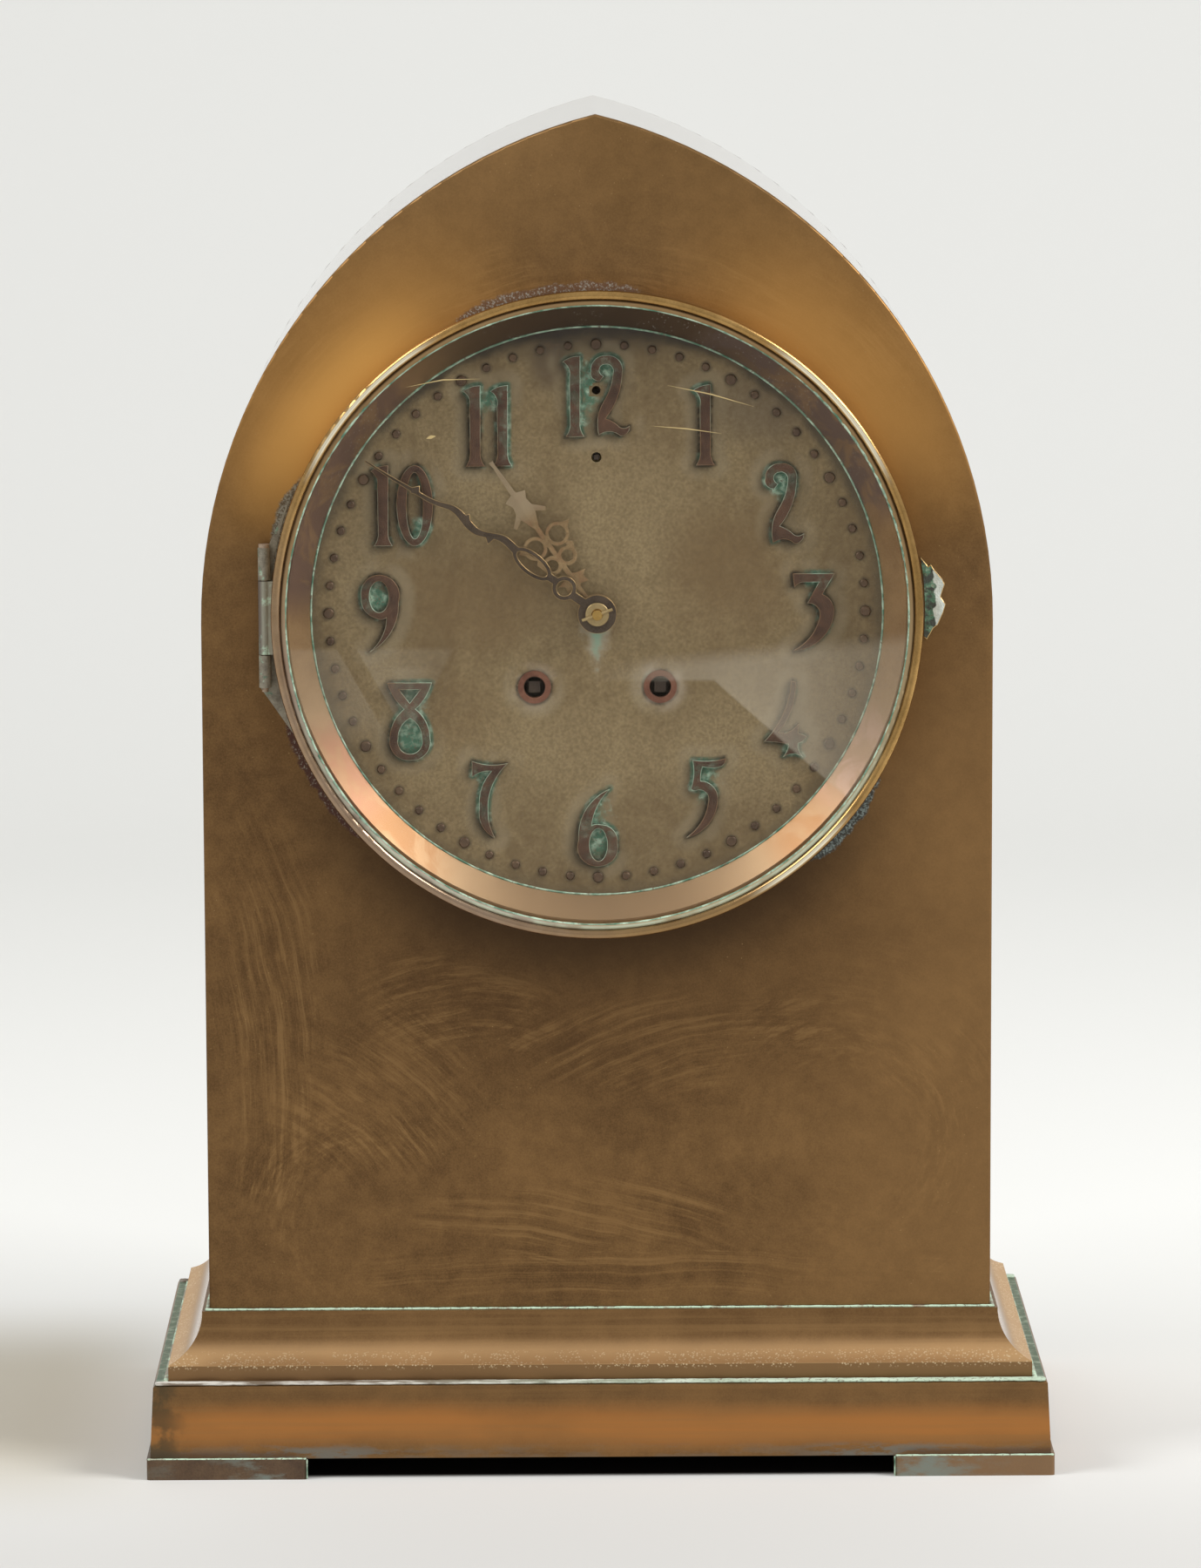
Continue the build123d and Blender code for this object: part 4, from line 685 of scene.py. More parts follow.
# Each tint: its direction, its half width and its colour. Those at 46 and 296 degrees are mauve tints,
# and those at 120, 131, 226 and 238 degrees are painted glints.
tints_and_glints = [(46.0, 20.0, (116, 98, 92)), (296.0, 20.0, (122, 98, 86)), (131.0, 8.0, (160, 118, 80)),
         (226.0, 10.0, (148, 108, 72)), (238.0, 5.0, (164, 122, 96)), (120.0, 5.0, (190, 156, 134))]
for angle, half, shade in tints_and_glints:
    toned = mix(toward(ring, angle, half) * patchy, toned, colour(*shade))
dust = use(specks, Place=place, Scale=900.0, Size=0.16, Cluster=60.0, Share=0.5)["Specks"]
dusted = mix(dust * ramp(ring["Above"], 0.2, 0.8, 0.1, 0.55), toned, colour(190, 184, 174))
fill(shader, Base_Color=dusted, Roughness=0.42, Metallic=0.8, Normal=bump(coat["Height"], 0.12, 0.2 * mm))
print("finish:", reveal_copper.name)

# %% [markdown]
# The catch on the right is a torn scrap of plate. Close to the bezel it is eaten to a dark teal, and
# its outer flaps are chalky white. The distance from the dial's centre parts the two.

# %% Finish: catch
catch_torn, place, shader = finish("catch_torn_plate")
film = use(bloom, Place=place, Scale=520.0, Paleness=0.3)
eaten = mix(ramp(noise(place, 480.0, 4.0), 0.4, 0.6), film["Color"], colour(62, 66, 58))
ragged = use(rings, Place=place)["Radius"] + noise(place, 330.0, 3.0) * 3.0
chalky = mix(noise(place, 700.0, 3.0), colour(188, 198, 188), colour(222, 228, 220))
fill(shader, Base_Color=mix(ramp(ragged, 95.1, 95.5), eaten, chalky),
     Normal=bump(film["Grain"], 0.5, 0.4 * mm), Roughness=0.7, Metallic=0.1)
print("finish:", catch_torn.name)

# %% [markdown]
# The dial is olive brass gone matt, in broad clouds of pale and brown that seem to hang down, as
# damp runs. Noise alone would put the clouds anywhere, so each one is an oval in its own place, and
# the noise only frays it.

# %% Finish: dial, its clouds and grain
pale_olive, brown_olive, top_dark_brown = (158, 139, 102), (116, 91, 56), (54, 45, 35)
# Each cloud: its middle and half sizes in millimetres, its colour, and how much of it shows.
dial_clouds = [((8, 268), (28, 34), pale_olive, 0.55),
               ((-32, 278), (22, 20), pale_olive, 0.6),
               ((0, 203), (46, 18), pale_olive, 0.5),
               ((40, 205), (30, 24), pale_olive, 0.65),
               ((-66, 248), (14, 40), pale_olive, 0.45),
               ((-30, 246), (34, 22), brown_olive, 0.55),
               ((36, 252), (24, 28), brown_olive, 0.6),
               ((-38, 214), (16, 18), brown_olive, 0.4),
               # This cloud darkens a band along the top of the dial.
               ((0, 322), (52, 13), top_dark_brown, 0.9),
               ((-13, 312), (8, 12), (66, 53, 46), 0.6),
               ((46, 298), (18, 16), (98, 86, 72), 0.5)]
dial_olive, place, shader = finish("dial_olive_brass")
ring = use(rings, Place=place)
across, depth, height = in_mm(place)
hanging = stretched(place, (1, 1, 0.45))
broad = noise(hanging, 40.0, 4.0, 0.6, 0.6)
fine = noise(place, 1400.0, 3.0, 0.6)
mottle = noise(place, 260.0, 6.0, 0.75)
tone = ramp(broad, 0.32, 0.68) * 0.6 + ramp(mottle, 0.3, 0.7) * 0.4
toned = mix(tone, colour(114, 94, 62), colour(150, 131, 94))
drift = (noise(hanging, 60.0, 4.0) - 0.5) * 0.9
for middle, size, shade, share in dial_clouds:
    away = oval(across, height, middle, size) + drift
    toned = mix(ramp(away, 1.0, 0.25, 0.0, share), toned, colour(*shade))
toned = mix(ramp(fine, 0.3, 0.7, 0.0, 0.55), toned, colour(100, 81, 52))
print("dial clouds:", len(dial_clouds))

# %% [markdown]
# Each numeral stands in a pale halo with a dark line of painted shade at its foot, and in the damp
# pockets between its strokes the halo turns teal. Four attributes that are measured below, on the film
# over the dial, say how close a place is to a numeral, how shut in it is, how much a numeral shades it,
# which is painted as shadow, and how close it is to a minute stud.

# %% Finish: dial, round the numerals and studs
def mesh_value(place, name):
    made = node_beside([place], "ShaderNodeAttribute")
    made.attribute_name = name
    return Wire(made.outputs["Fac"])


close = mesh_value(place, "close")
halo = ramp(close, 0.1, 0.6) * ramp(noise(hanging, 70.0, 4.0), 0.38, 0.6)
toned = mix(halo * 0.45, toned, colour(160, 146, 118))
# A dark line of painted shade runs at the foot of each numeral.
numeral_contact_shade = ramp(close, 0.8, 0.97) * ramp(noise(place, 260.0, 4.0), 0.35, 0.6, 0.1, 0.75)
toned = mix(numeral_contact_shade, toned, colour(66, 54, 38))
toned = mix(mesh_value(place, "shade") * 0.95, toned, colour(46, 38, 27))
damp = use(damp_spots, Place=place)["Mask"]
dry = ramp(noise(place, 120.0, 4.0), 0.55, 0.62, 0.0, 0.35)
hugging = ramp(close, 0.78, 0.92) * calc("MAXIMUM", damp * 0.7, dry)
blotch = noise(place, 420.0, 4.0, 0.65) * 0.6
shut_in = ramp(mesh_value(place, "pocket") + blotch, 0.84, 1.08) * damp
film = use(bloom, Place=place, Scale=420.0, Paleness=0.42)
toned = mix(calc("MAXIMUM", shut_in, hugging), toned, film["Color"])
stud_mark = ramp(mesh_value(place, "stud"), 0.4, 0.95) * 0.5
toned = mix(stud_mark, toned, colour(74, 66, 52))
print("nodes in the dial's finish so far:", len(dial_olive.node_tree.nodes))

# %% [markdown]
# A ring of painted shade, cast by the reveal and bezel, follows the edge of the dial, darkest at the top.
# A green tongue with a pale border runs down from the hub, and chalk has dried round the two winding
# collars.

# %% Finish: dial, its edge, tongue and collars
# Painted shade of the reveal and bezel darkens a ring at the edge of the dial, most at the top.
frayed = ring["Radius"] + noise(place, 110.0, 4.0) * 6.0
edge = ramp(frayed, 78.5, 82.5) * ramp(ring["Above"], -0.6, 0.7, 0.4, 0.85)
rim_shade_tone = mix(ramp(ring["Above"], 0.5, 0.92), colour(76, 67, 51), colour(40, 33, 25))
toned = mix(edge, toned, rim_shade_tone)
tongue_top = 240.0
uneven = (noise(place, 260.0, 4.0, 0.65) - 0.5) * 7.0
tongue_width = 6.0 - (tongue_top - height) * 0.36 + uneven
tongue = ramp(tongue_width - abs(across), -0.6, 3.0) * ramp(height, tongue_top, tongue_top - 2.0)
toned = mix(tongue * 0.7, toned, colour(160, 152, 132))
core_width = tongue_width * 0.75 - 1.6
core = ramp(core_width - abs(across), -1.0, 1.4) * ramp(height, tongue_top, tongue_top - 1.5)
toned = mix(core * 0.8, toned, colour(122, 158, 134))
collar_aside, collar_height = 17.5, 221.1
for side, strength in ((-1, 0.35), (1, 0.6)):
    around = oval(across, height, (side * collar_aside, collar_height), (1, 1))
    chalk_ring = ramp(around, 8.4, 5.0) * ramp(noise(place, 150.0, 4.0), 0.36, 0.62)
    toned = mix(chalk_ring * strength, toned, colour(172, 158, 138))
fill(shader, Base_Color=toned, Roughness=0.5 + halo * 0.25, Metallic=0.3,
     Normal=bump(fine * 0.4 + shut_in, 0.2, 0.3 * mm))
print("finish:", dial_olive.name)

# %% [markdown]
# The glass is thin, old and not quite clean. Seen square on it mostly lets the dial through, and two pale
# wedges are painted on it as reflections of the studio. A low Alpha on a mirror-like shader does that
# without the noise that light bent through a thick pane would bring.

# %% Finish: glass
glass, place, shader = finish("dial_glass")
across, depth, height = in_mm(place)
# The right wedge stands on an edge that is level up to a bend and then falls. Its top fades away.
edge_level, edge_bend, edge_fall = 224.0, 32.3, -0.9
slope = calc("MAXIMUM", across - edge_bend, 0.0) * edge_fall
over_edge = ramp(height - edge_level - slope, -0.7, 0.7)
under_top = ramp(height - across * 0.09, 230.5, 224.5)
fading = ramp(across, -6.0, 40.0) * ramp(across, 46.0, 72.0, 1.0, 0.55)
right_painted_reflection = over_edge * under_top * fading
# The left wedge leans, and a clear strip runs through it.
strip = (across + 64.5) * 0.871 + (height - 224.4) * 0.49
leaning = across - (height - 232.7) * 0.5
left_side = ramp(leaning, -39.5, -41.0) * ramp(leaning, -30.0, -62.0, 0.35, 1.0)
left_tall = ramp(height, 234.0, 232.0) * ramp(height, 203.0, 216.0)
left_painted_reflection = left_side * left_tall * ramp(abs(strip), 2.0, 2.8)
# Both wedges are painted reflections, laid on the pane as a pale film through its Alpha.
pane = calc("MAXIMUM", right_painted_reflection * 0.18, left_painted_reflection * 0.06) + 0.008
fill(shader, Alpha=pane, Base_Color=colour(255, 243, 220), Metallic=1.0, Roughness=0.04)
print("finish:", glass.name)

# %% [markdown]
# Crusts are the thick part of the bloom: they stand up from the seams as a ragged bead. Three kinds
# come from one recipe: a pale mint one, a teal one and a grey one. On the ledge of the plinth the
# crust is worn to silver at the left and stays green at the right. Scratches are plain yellow.

# %% Finishes: crusts and scratches
def crust_finish(name, paleness, shade, share):
    """Bloom of a paleness, with a share of it stained."""
    material, place, shader = finish(name)
    film = use(bloom, Place=place, Scale=300.0, Paleness=paleness)
    where = ramp(noise(place, 130.0, 5.0, 0.65), 0.62 - 0.3 * share, 0.74 - 0.3 * share)
    fill(shader, Base_Color=mix(where, film["Color"], colour(*shade)),
         Normal=bump(film["Grain"], 0.6, 0.4 * mm), Roughness=0.85)
    return material


pale_crust = crust_finish("pale_mint_crust", 0.85, (150, 138, 118), 0.35)
teal_crust = crust_finish("teal_crust", 0.5, (112, 140, 118), 0.3)
grey_crust = crust_finish("grey_crust", 0.8, (152, 146, 132), 0.6)

ledge_crust, place, shader = finish("ledge_worn_crust")
across, depth, height = in_mm(place)
film = use(bloom, Place=place, Scale=300.0, Paleness=0.9)
drawn_out = noise(stretched(place, (70, 400, 400)), 1.0, 5.0, 0.65)
silvery = mix(ramp(drawn_out, 0.42, 0.6), colour(112, 98, 82), colour(202, 198, 188))
fill(shader, Base_Color=mix(ramp(across, -80.0, 90.0, 0.0, 0.8), silvery, film["Color"]),
     Normal=bump(film["Grain"], 0.4, 0.3 * mm), Roughness=0.6)

scratch, place, shader = finish("yellow_scratch")
fill(shader, Base_Color=colour(196, 172, 118), Roughness=0.5)
print("materials now, with those of the frame:", len(bpy.data.materials))

# %% [markdown]
# The CAD meshes are loose triangles with knife-sharp edges. Real castings and hands have edges
# rounded by files and polish, which show as thin bright lines. A copy of the mesh is merged, its
# flat faces are joined, and the edges on its front face get a small bevel with a finish of its own.

# %% Helpers: selections and copies
merge_distance = 1e-6
flat_angle = math.radians(0.6)


def only(piece):
    """Selects this piece alone and makes it active."""
    bpy.ops.object.select_all(action="DESELECT")
    piece.select_set(True)
    bpy.context.view_layer.objects.active = piece


def pick(piece, kind, chosen):
    """Selects in edit mode the vertices or edges of a piece that chosen accepts, and nothing else."""
    only(piece)
    mesh = piece.data
    for part in (*mesh.vertices, *mesh.edges, *mesh.polygons):
        part.select = False
    for part in getattr(mesh, kind):
        part.select = chosen(part)
    bpy.context.tool_settings.mesh_select_mode = (kind == "vertices", kind == "edges", False)
    bpy.ops.object.mode_set(mode="EDIT")


def copy_node(node, name, *materials):
    """A copy of a CAD node with its loose triangles merged into whole faces."""
    piece = bpy.data.objects.new(name, nodes[node].data.copy())
    piece.data.materials.clear()
    for material in materials:
        piece.data.materials.append(material)
    scene.collection.objects.link(piece)
    only(piece)
    bpy.ops.object.mode_set(mode="EDIT")
    bpy.ops.mesh.select_all(action="SELECT")
    bpy.ops.mesh.remove_doubles(threshold=merge_distance)
    bpy.ops.mesh.dissolve_limited(angle_limit=flat_angle)
    bpy.ops.object.mode_set(mode="OBJECT")
    print(name, "whole faces:", len(piece.data.polygons))
    return piece


# %% [markdown]
# A Bevel modifier can round every edge, but only the edges that a cloth reaches are worn. So each edge
# whose two faces meet at an angle, and whose middle lies where it should, gets a weight of 1.

# %% Helper: soft edges
sharp_cosine = 0.8
smooth_angle = math.radians(35)


def soften(piece, width, chosen, edge_slot=1):
    """Bevels the sharp edges whose middle chosen accepts, with the finish in edge_slot."""
    mesh = piece.data
    weights = mesh.attributes.new("bevel_weight_edge", "FLOAT", "EDGE")
    normals = {}
    for face in mesh.polygons:
        for key in face.edge_keys:
            normals.setdefault(key, []).append(face.normal)
    count = 0
    for edge in mesh.edges:
        first, second = (mesh.vertices[v].co for v in edge.vertices)
        met = normals.get(edge.key, [])
        sharp = len(met) == 2 and met[0].dot(met[1]) < sharp_cosine
        if sharp and chosen((first + second) / 2):
            weights.data[edge.index].value = 1.0
            count += 1
    bevel = piece.modifiers.new("soft edge", "BEVEL")
    bevel.width = width
    bevel.segments = 2
    bevel.limit_method = "WEIGHT"
    bevel.use_clamp_overlap = True
    bevel.material = edge_slot
    only(piece)
    bpy.ops.object.modifier_apply(modifier=bevel.name)
    bpy.ops.object.shade_smooth_by_angle(angle=smooth_angle)
    print(piece.name, "soft edges:", count, "faces:", len(mesh.polygons))


def front_of(node, margin=0.05 * mm):
    """A depth just behind the front face of a CAD node: what lies before it is on that face."""
    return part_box(node)[0].y + margin


def from_centre(point):
    """How far a point lies from the dial's axis, in millimetres."""
    return Vector((point.x, point.z - dial_height)).length / mm


# %% [markdown]
# The numerals are thin castings fixed to the dial. Their faces are red bronze, their sides are darkened
# with painted shade and hold bloom, and the rounded edge between the two shows as a line, worn bright or
# green.
# Faces on the front plane get the first finish and all others the third, before the bevel is made.

# %% Numerals
numeral_front = front_of("hour_numerals")
numerals = copy_node("hour_numerals", "numerals_cast", numeral_bronze, numeral_edge, shaded_numeral_wall)
for face in numerals.data.polygons:
    face.material_index = 0 if face.center.y < numeral_front else 2
soften(numerals, 0.32 * mm, lambda middle: middle.y < numeral_front)
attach(numerals, "case")
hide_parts("hour_numerals")

# %% [markdown]
# The front plate has an edge that hands and cloths have rubbed bright, and it shows as a cream line
# along the arch. A narrow bevel with its own finish gives that line, and the round opening has none,
# because the bezel covers it.

# %% Front plate
plate_front = front_of("front_plate")
plate = copy_node("front_plate", "front_plate_rubbed", case_front, cream_edge)
soften(plate, 0.3 * mm, lambda middle: middle.y < plate_front and from_centre(middle) > 95)
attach(plate, "case")
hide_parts("front_plate")

# %% [markdown]
# The torn catch has golden rims and dents. It is cut into small faces that a cloud texture can push
# in and out, which sculpting by hand would do less evenly.

# %% Catch
catch_front = front_of("catch_plate")
catch = copy_node("catch_plate", "catch_plate_dented", catch_torn, worn_brass)
soften(catch, 0.25 * mm, lambda middle: middle.y < catch_front and from_centre(middle) > 91.4)
only(catch)
bpy.ops.object.mode_set(mode="EDIT")
bpy.ops.mesh.select_all(action="SELECT")
bpy.ops.mesh.quads_convert_to_tris()
bpy.ops.mesh.subdivide(number_cuts=4)
bpy.ops.object.mode_set(mode="OBJECT")
dents = bpy.data.textures.new("dents", "CLOUDS")
dents.noise_scale = 2.4 * mm
dented = catch.modifiers.new("dents", "DISPLACE")
dented.texture = dents
dented.texture_coords = "GLOBAL"
dented.direction = "Y"
dented.strength = 0.9 * mm
dented.mid_level = 0.5
bpy.ops.object.modifier_apply(modifier=dented.name)
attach(catch, "case")
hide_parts("catch_plate")
print("catch faces:", len(catch.data.polygons))

# %% [markdown]
# The hands are sawn from sheet and filed along their front edges. The minute hand has gone dark with
# golden edges, and the hour hand below it is paler, with cream edges that pick out its openwork.

# %% Hands
hand_kinds = [("minute_hand", "centre", minute_bronze, worn_brass, "dark_bronze"),
              ("hour_hand", "hour", hour_brass, cream_edge, "dial_brass")]
for node, body, face_finish, edge_finish, slot_name in hand_kinds:
    hand_front = front_of(node, 0.02 * mm)
    hand = copy_node(node, node + "_filed", face_finish, edge_finish)
    soften(hand, 0.26 * mm, lambda middle: middle.y < hand_front)
    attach(hand, body)
    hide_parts(node)

# %% [markdown]
# The dial's patina needs a mesh fine enough to hold the measured attributes, and the CAD dial has
# one large face. So a thin sheet is laid over it: a line is spun round the dial's axis, the places
# of the winding holes are cut out, and the sheet gets the least thickness that a film can have.

# %% Dial film: mesh
film_gap, film_thickness = 0.03 * mm, 0.02 * mm
film_front = dial_face - film_gap
film_inner, film_outer = 4.2 * mm, 79.5 * mm
film_rings, film_spokes = 105, 400
span = film_outer - film_inner
line_place = ((film_inner + film_outer) / 2, film_front - span / 2, dial_height)
bpy.ops.object.select_all(action="DESELECT")
bpy.ops.mesh.primitive_plane_add(size=span, location=line_place)
dial_film = bpy.context.object
dial_film.name = "dial_film"
bpy.ops.object.transform_apply(location=True, rotation=True, scale=True)
pick(dial_film, "vertices", lambda vertex: vertex.co.y < film_front - span / 2)
bpy.ops.mesh.delete(type="VERT")
bpy.ops.mesh.select_all(action="SELECT")
bpy.ops.mesh.subdivide(number_cuts=film_rings)
bpy.ops.mesh.spin(steps=film_spokes, angle=2 * math.pi, center=(0, 0, dial_height), axis=(0, 1, 0))
bpy.ops.mesh.select_all(action="SELECT")
bpy.ops.mesh.remove_doubles(threshold=merge_distance)
bpy.ops.object.mode_set(mode="OBJECT")
# Each hole: its place across and above the dial's centre, and its radius, in millimetres.
holes = [((17.5, -20.9), 4.1), ((-17.5, -20.9), 4.1), ((0, 43.2), 1.7), ((0, 61.8), 1.5)]


def in_hole(vertex):
    spot = Vector((vertex.co.x, vertex.co.z - dial_height)) / mm
    return any((spot - Vector(middle)).length < size for middle, size in holes)


pick(dial_film, "vertices", in_hole)
bpy.ops.mesh.delete(type="VERT")
bpy.ops.object.mode_set(mode="OBJECT")
if dial_film.data.polygons[0].normal.y > 0:
    bpy.ops.object.mode_set(mode="EDIT")
    bpy.ops.mesh.select_all(action="SELECT")
    bpy.ops.mesh.flip_normals()
    bpy.ops.object.mode_set(mode="OBJECT")
print("dial film faces:", len(dial_film.data.polygons))

# %% [markdown]
# What the film lies beside is measured on the CAD nodes with search trees. The nearest point of a
# numeral gives how close a place is. Rays along the dial count the numeral walls round it, which says
# how shut in it is, and a few rays towards the upper right, where the light comes from, give the shade.

# %% Dial film: what it lies beside
near_reach, wall_reach, shade_reach, stud_reach = 6 * mm, 8 * mm, 3.6 * mm, 1.6 * mm
eye_lift = Vector((0, -0.4 * mm, 0))


def tree_of(*names):
    """A search tree over the triangles of some CAD nodes."""
    points, faces = [], []
    for name in names:
        first = len(points)
        mesh = nodes[name].data
        points.extend(vertex.co.copy() for vertex in mesh.vertices)
        faces.extend([first + v for v in face.vertices] for face in mesh.polygons)
    return BVHTree.FromPolygons(points, faces)


def closeness(tree, point, reach):
    """1 where a point touches what is in the tree, falling to 0 at the reach."""
    found = tree.find_nearest(point, reach)
    return 0.0 if found[3] is None else 1 - found[3] / reach


numeral_tree = tree_of("hour_numerals", "winding_collars")
stud_tree = tree_of("minute_studs")
look_turns = [k * math.pi / 8 for k in range(16)]
look_ways = [Vector((math.cos(turn), 0, math.sin(turn))) for turn in look_turns]
lamp_turns = (0.2, 0.45, 0.7, 0.95, 1.2)
lamp_ways = [Vector((math.cos(turn), -0.12, math.sin(turn))).normalized() for turn in lamp_turns]
values = {"close": [], "pocket": [], "shade": [], "stud": []}
for vertex in dial_film.data.vertices:
    near = closeness(numeral_tree, vertex.co, near_reach)
    seen, shade = 0, 0
    if near > 0.2:
        eye = vertex.co + eye_lift
        seen = sum(1 for way in look_ways if numeral_tree.ray_cast(eye, way, wall_reach)[0] is not None)
        reached = [numeral_tree.ray_cast(eye, way, shade_reach)[3] for way in lamp_ways]
        shade = sum(1 - far / shade_reach for far in reached if far is not None) / len(lamp_ways)
    values["close"].append(near)
    values["pocket"].append(seen / len(look_ways))
    values["shade"].append(shade)
    values["stud"].append(closeness(stud_tree, vertex.co, stud_reach))
for name, measured in values.items():
    dial_film.data.attributes.new(name, "FLOAT", "POINT").data.foreach_set("value", measured)
thickness = dial_film.modifiers.new("film", "SOLIDIFY")
thickness.thickness = film_thickness
thickness.offset = -1
only(dial_film)
bpy.ops.object.modifier_apply(modifier=thickness.name)
dial_film.data.materials.append(dial_olive)
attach(dial_film, "case")
print("most shut in:", round(max(values["pocket"]), 2), "most shaded:", round(max(values["shade"]), 2))

# %% [markdown]
# A crust that follows a ring starts as a small circle, flattened and spun round the dial's axis,
# and then roughened by a cloud texture in a Displace modifier. Where the clouds push it in, it sinks
# below the metal and the crust is broken, as it is on the clock.

# %% Helpers: crusts round the dial
segment_length = 0.8
bead_sides = 8


def roughen(piece, strength, grain, mid_level):
    """Pushes a piece's surface in and out by a cloud texture."""
    clouds = bpy.data.textures.new(piece.name + "_clouds", "CLOUDS")
    clouds.noise_scale = grain
    clouds.noise_depth = 3
    rough = piece.modifiers.new("ragged", "DISPLACE")
    rough.texture = clouds
    rough.texture_coords = "GLOBAL"
    rough.strength = strength
    rough.mid_level = mid_level
    only(piece)
    bpy.ops.object.modifier_apply(modifier=rough.name)
    bpy.ops.object.shade_smooth()


def settle(piece, body, material):
    piece.data.materials.append(material)
    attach(piece, body)
    print(piece.name, "faces:", len(piece.data.polygons))


def crust_ring(name, radius, front, wide, thick, mid_level=0.5):
    """A ragged bead round the dial. Radius and sizes are in millimetres."""
    steps = int(radius * 2 * math.pi / segment_length)
    bpy.ops.object.select_all(action="DESELECT")
    bpy.ops.mesh.primitive_circle_add(vertices=bead_sides, radius=wide * mm, location=(0, 0, 0))
    piece = bpy.context.object
    piece.name = name
    bpy.ops.object.mode_set(mode="EDIT")
    bpy.ops.transform.resize(value=(1, thick / wide, 1))
    bpy.ops.transform.translate(value=(radius * mm, front * mm, 0))
    bpy.ops.mesh.select_all(action="SELECT")
    bpy.ops.mesh.spin(steps=steps, angle=2 * math.pi, center=(0, 0, 0), axis=(0, 1, 0))
    bpy.ops.mesh.select_all(action="SELECT")
    bpy.ops.mesh.remove_doubles(threshold=merge_distance)
    bpy.ops.mesh.fill_holes(sides=bead_sides)
    bpy.ops.mesh.normals_make_consistent(inside=False)
    bpy.ops.object.mode_set(mode="OBJECT")
    piece.rotation_euler = (0, math.radians(-90), 0)
    piece.location = (0, 0, dial_height)
    bpy.ops.object.transform_apply(location=True, rotation=True, scale=True)
    roughen(piece, min(wide, thick) * mm, 3 * mm, mid_level)
    return piece


# %% [markdown]
# Bloom has crept out where two metals meet and water stood. Round the glass it is a teal line that
# turns with the bezel, and round the dial it lies where the dial meets the reveal.

# %% Crusts round the dial
settle(crust_ring("glass_edge_bloom", 86.25, -61.35, 0.34, 0.3), "bezel", teal_crust)
settle(crust_ring("dial_edge_bloom", 79.5, -50.4, 0.3, 0.24, 0.55), "case", teal_crust)

# %% [markdown]
# A crust along a straight seam starts as a bar. Only its long edges are cut, into short lengths, then
# all of it is cut once more and swollen a little, and it is roughened like the rings.

# %% Helper: crusts along seams
def crust_bar(name, middle, size):
    """A ragged bead along a straight seam. The longest side of size is its length, in millimetres."""
    bpy.ops.object.select_all(action="DESELECT")
    bpy.ops.mesh.primitive_cube_add(size=1, location=(0, 0, 0))
    piece = bpy.context.object
    piece.name = name
    bpy.ops.object.mode_set(mode="EDIT")
    bpy.ops.transform.resize(value=Vector(size) * mm)
    bpy.ops.transform.translate(value=Vector(middle) * mm)
    bpy.ops.object.mode_set(mode="OBJECT")
    axis = size.index(max(size))

    def runs_along(edge):
        first, second = (piece.data.vertices[v].co for v in edge.vertices)
        return abs((second - first)[axis]) > 0.5 * max(size) * mm

    pick(piece, "edges", runs_along)
    bpy.ops.mesh.subdivide(number_cuts=int(max(size) / segment_length))
    bpy.ops.mesh.select_all(action="SELECT")
    bpy.ops.mesh.subdivide(number_cuts=1, smoothness=0.6)
    bpy.ops.object.mode_set(mode="OBJECT")
    roughen(piece, 0.8 * min(size) * mm, 2.5 * mm, 0.5)
    return piece


# %% [markdown]
# On the base, water stood along the foot of the case, on the ledge of the plinth and over the feet,
# and it ran down the inner corners of the feet. The sizes are those of the seams, in millimetres.

# %% Crusts along the base
body_seam, plinth_seam = 44.95, 26.85
for side, sign in (("front", -1), ("back", 1)):
    foot_of_case = crust_bar("body_seam_" + side, (0, sign * 53.1, body_seam), (222.0, 0.9, 0.5))
    settle(foot_of_case, "case", pale_crust)
    ledge = crust_bar("plinth_seam_" + side, (0, sign * 66.0, plinth_seam), (249.0, 3.4, 0.36))
    settle(ledge, "case", ledge_crust)
for side, sign in (("left", -1), ("right", 1)):
    foot_of_case = crust_bar("body_seam_" + side, (sign * 110.6, 0, body_seam), (0.9, 106.0, 0.5))
    settle(foot_of_case, "case", grey_crust)
    ledge = crust_bar("plinth_seam_" + side, (sign * 122.0, 0, plinth_seam), (1.2, 132.0, 0.3))
    settle(ledge, "case", grey_crust)
foot_inner, foot_outer, foot_front = 82.3, 127.3, 69.8
for number, (side, back) in enumerate(((-1, -1), (1, -1), (-1, 1), (1, 1))):
    top = (side * (foot_inner + foot_outer) / 2, back * (foot_front - 0.5), 5.85)
    foot_seam = crust_bar("foot_seam_%d" % number, top, (44.2, 0.9, 0.3))
    settle(foot_seam, "case", pale_crust)
    corner = (side * (foot_inner + 0.05), back * (foot_front - 0.05), 2.95)
    foot_corner = crust_bar("foot_corner_%d" % number, corner, (0.3, 0.3, 5.5))
    settle(foot_corner, "case", teal_crust)

# %% [markdown]
# Three old scratches on the glass catch the light as thin yellow lines, and a dried drop lies beside
# them. Each is a narrow strip, cut across in the middle, drawn to a point at both ends and bowed in
# the middle, and a smooth subdivision rounds it.

# %% Scratches on the glass
pane_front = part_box("bezel_glass")[0].y
mark_gap, mark_thickness, pointed = 0.03 * mm, 0.02 * mm, 0.12
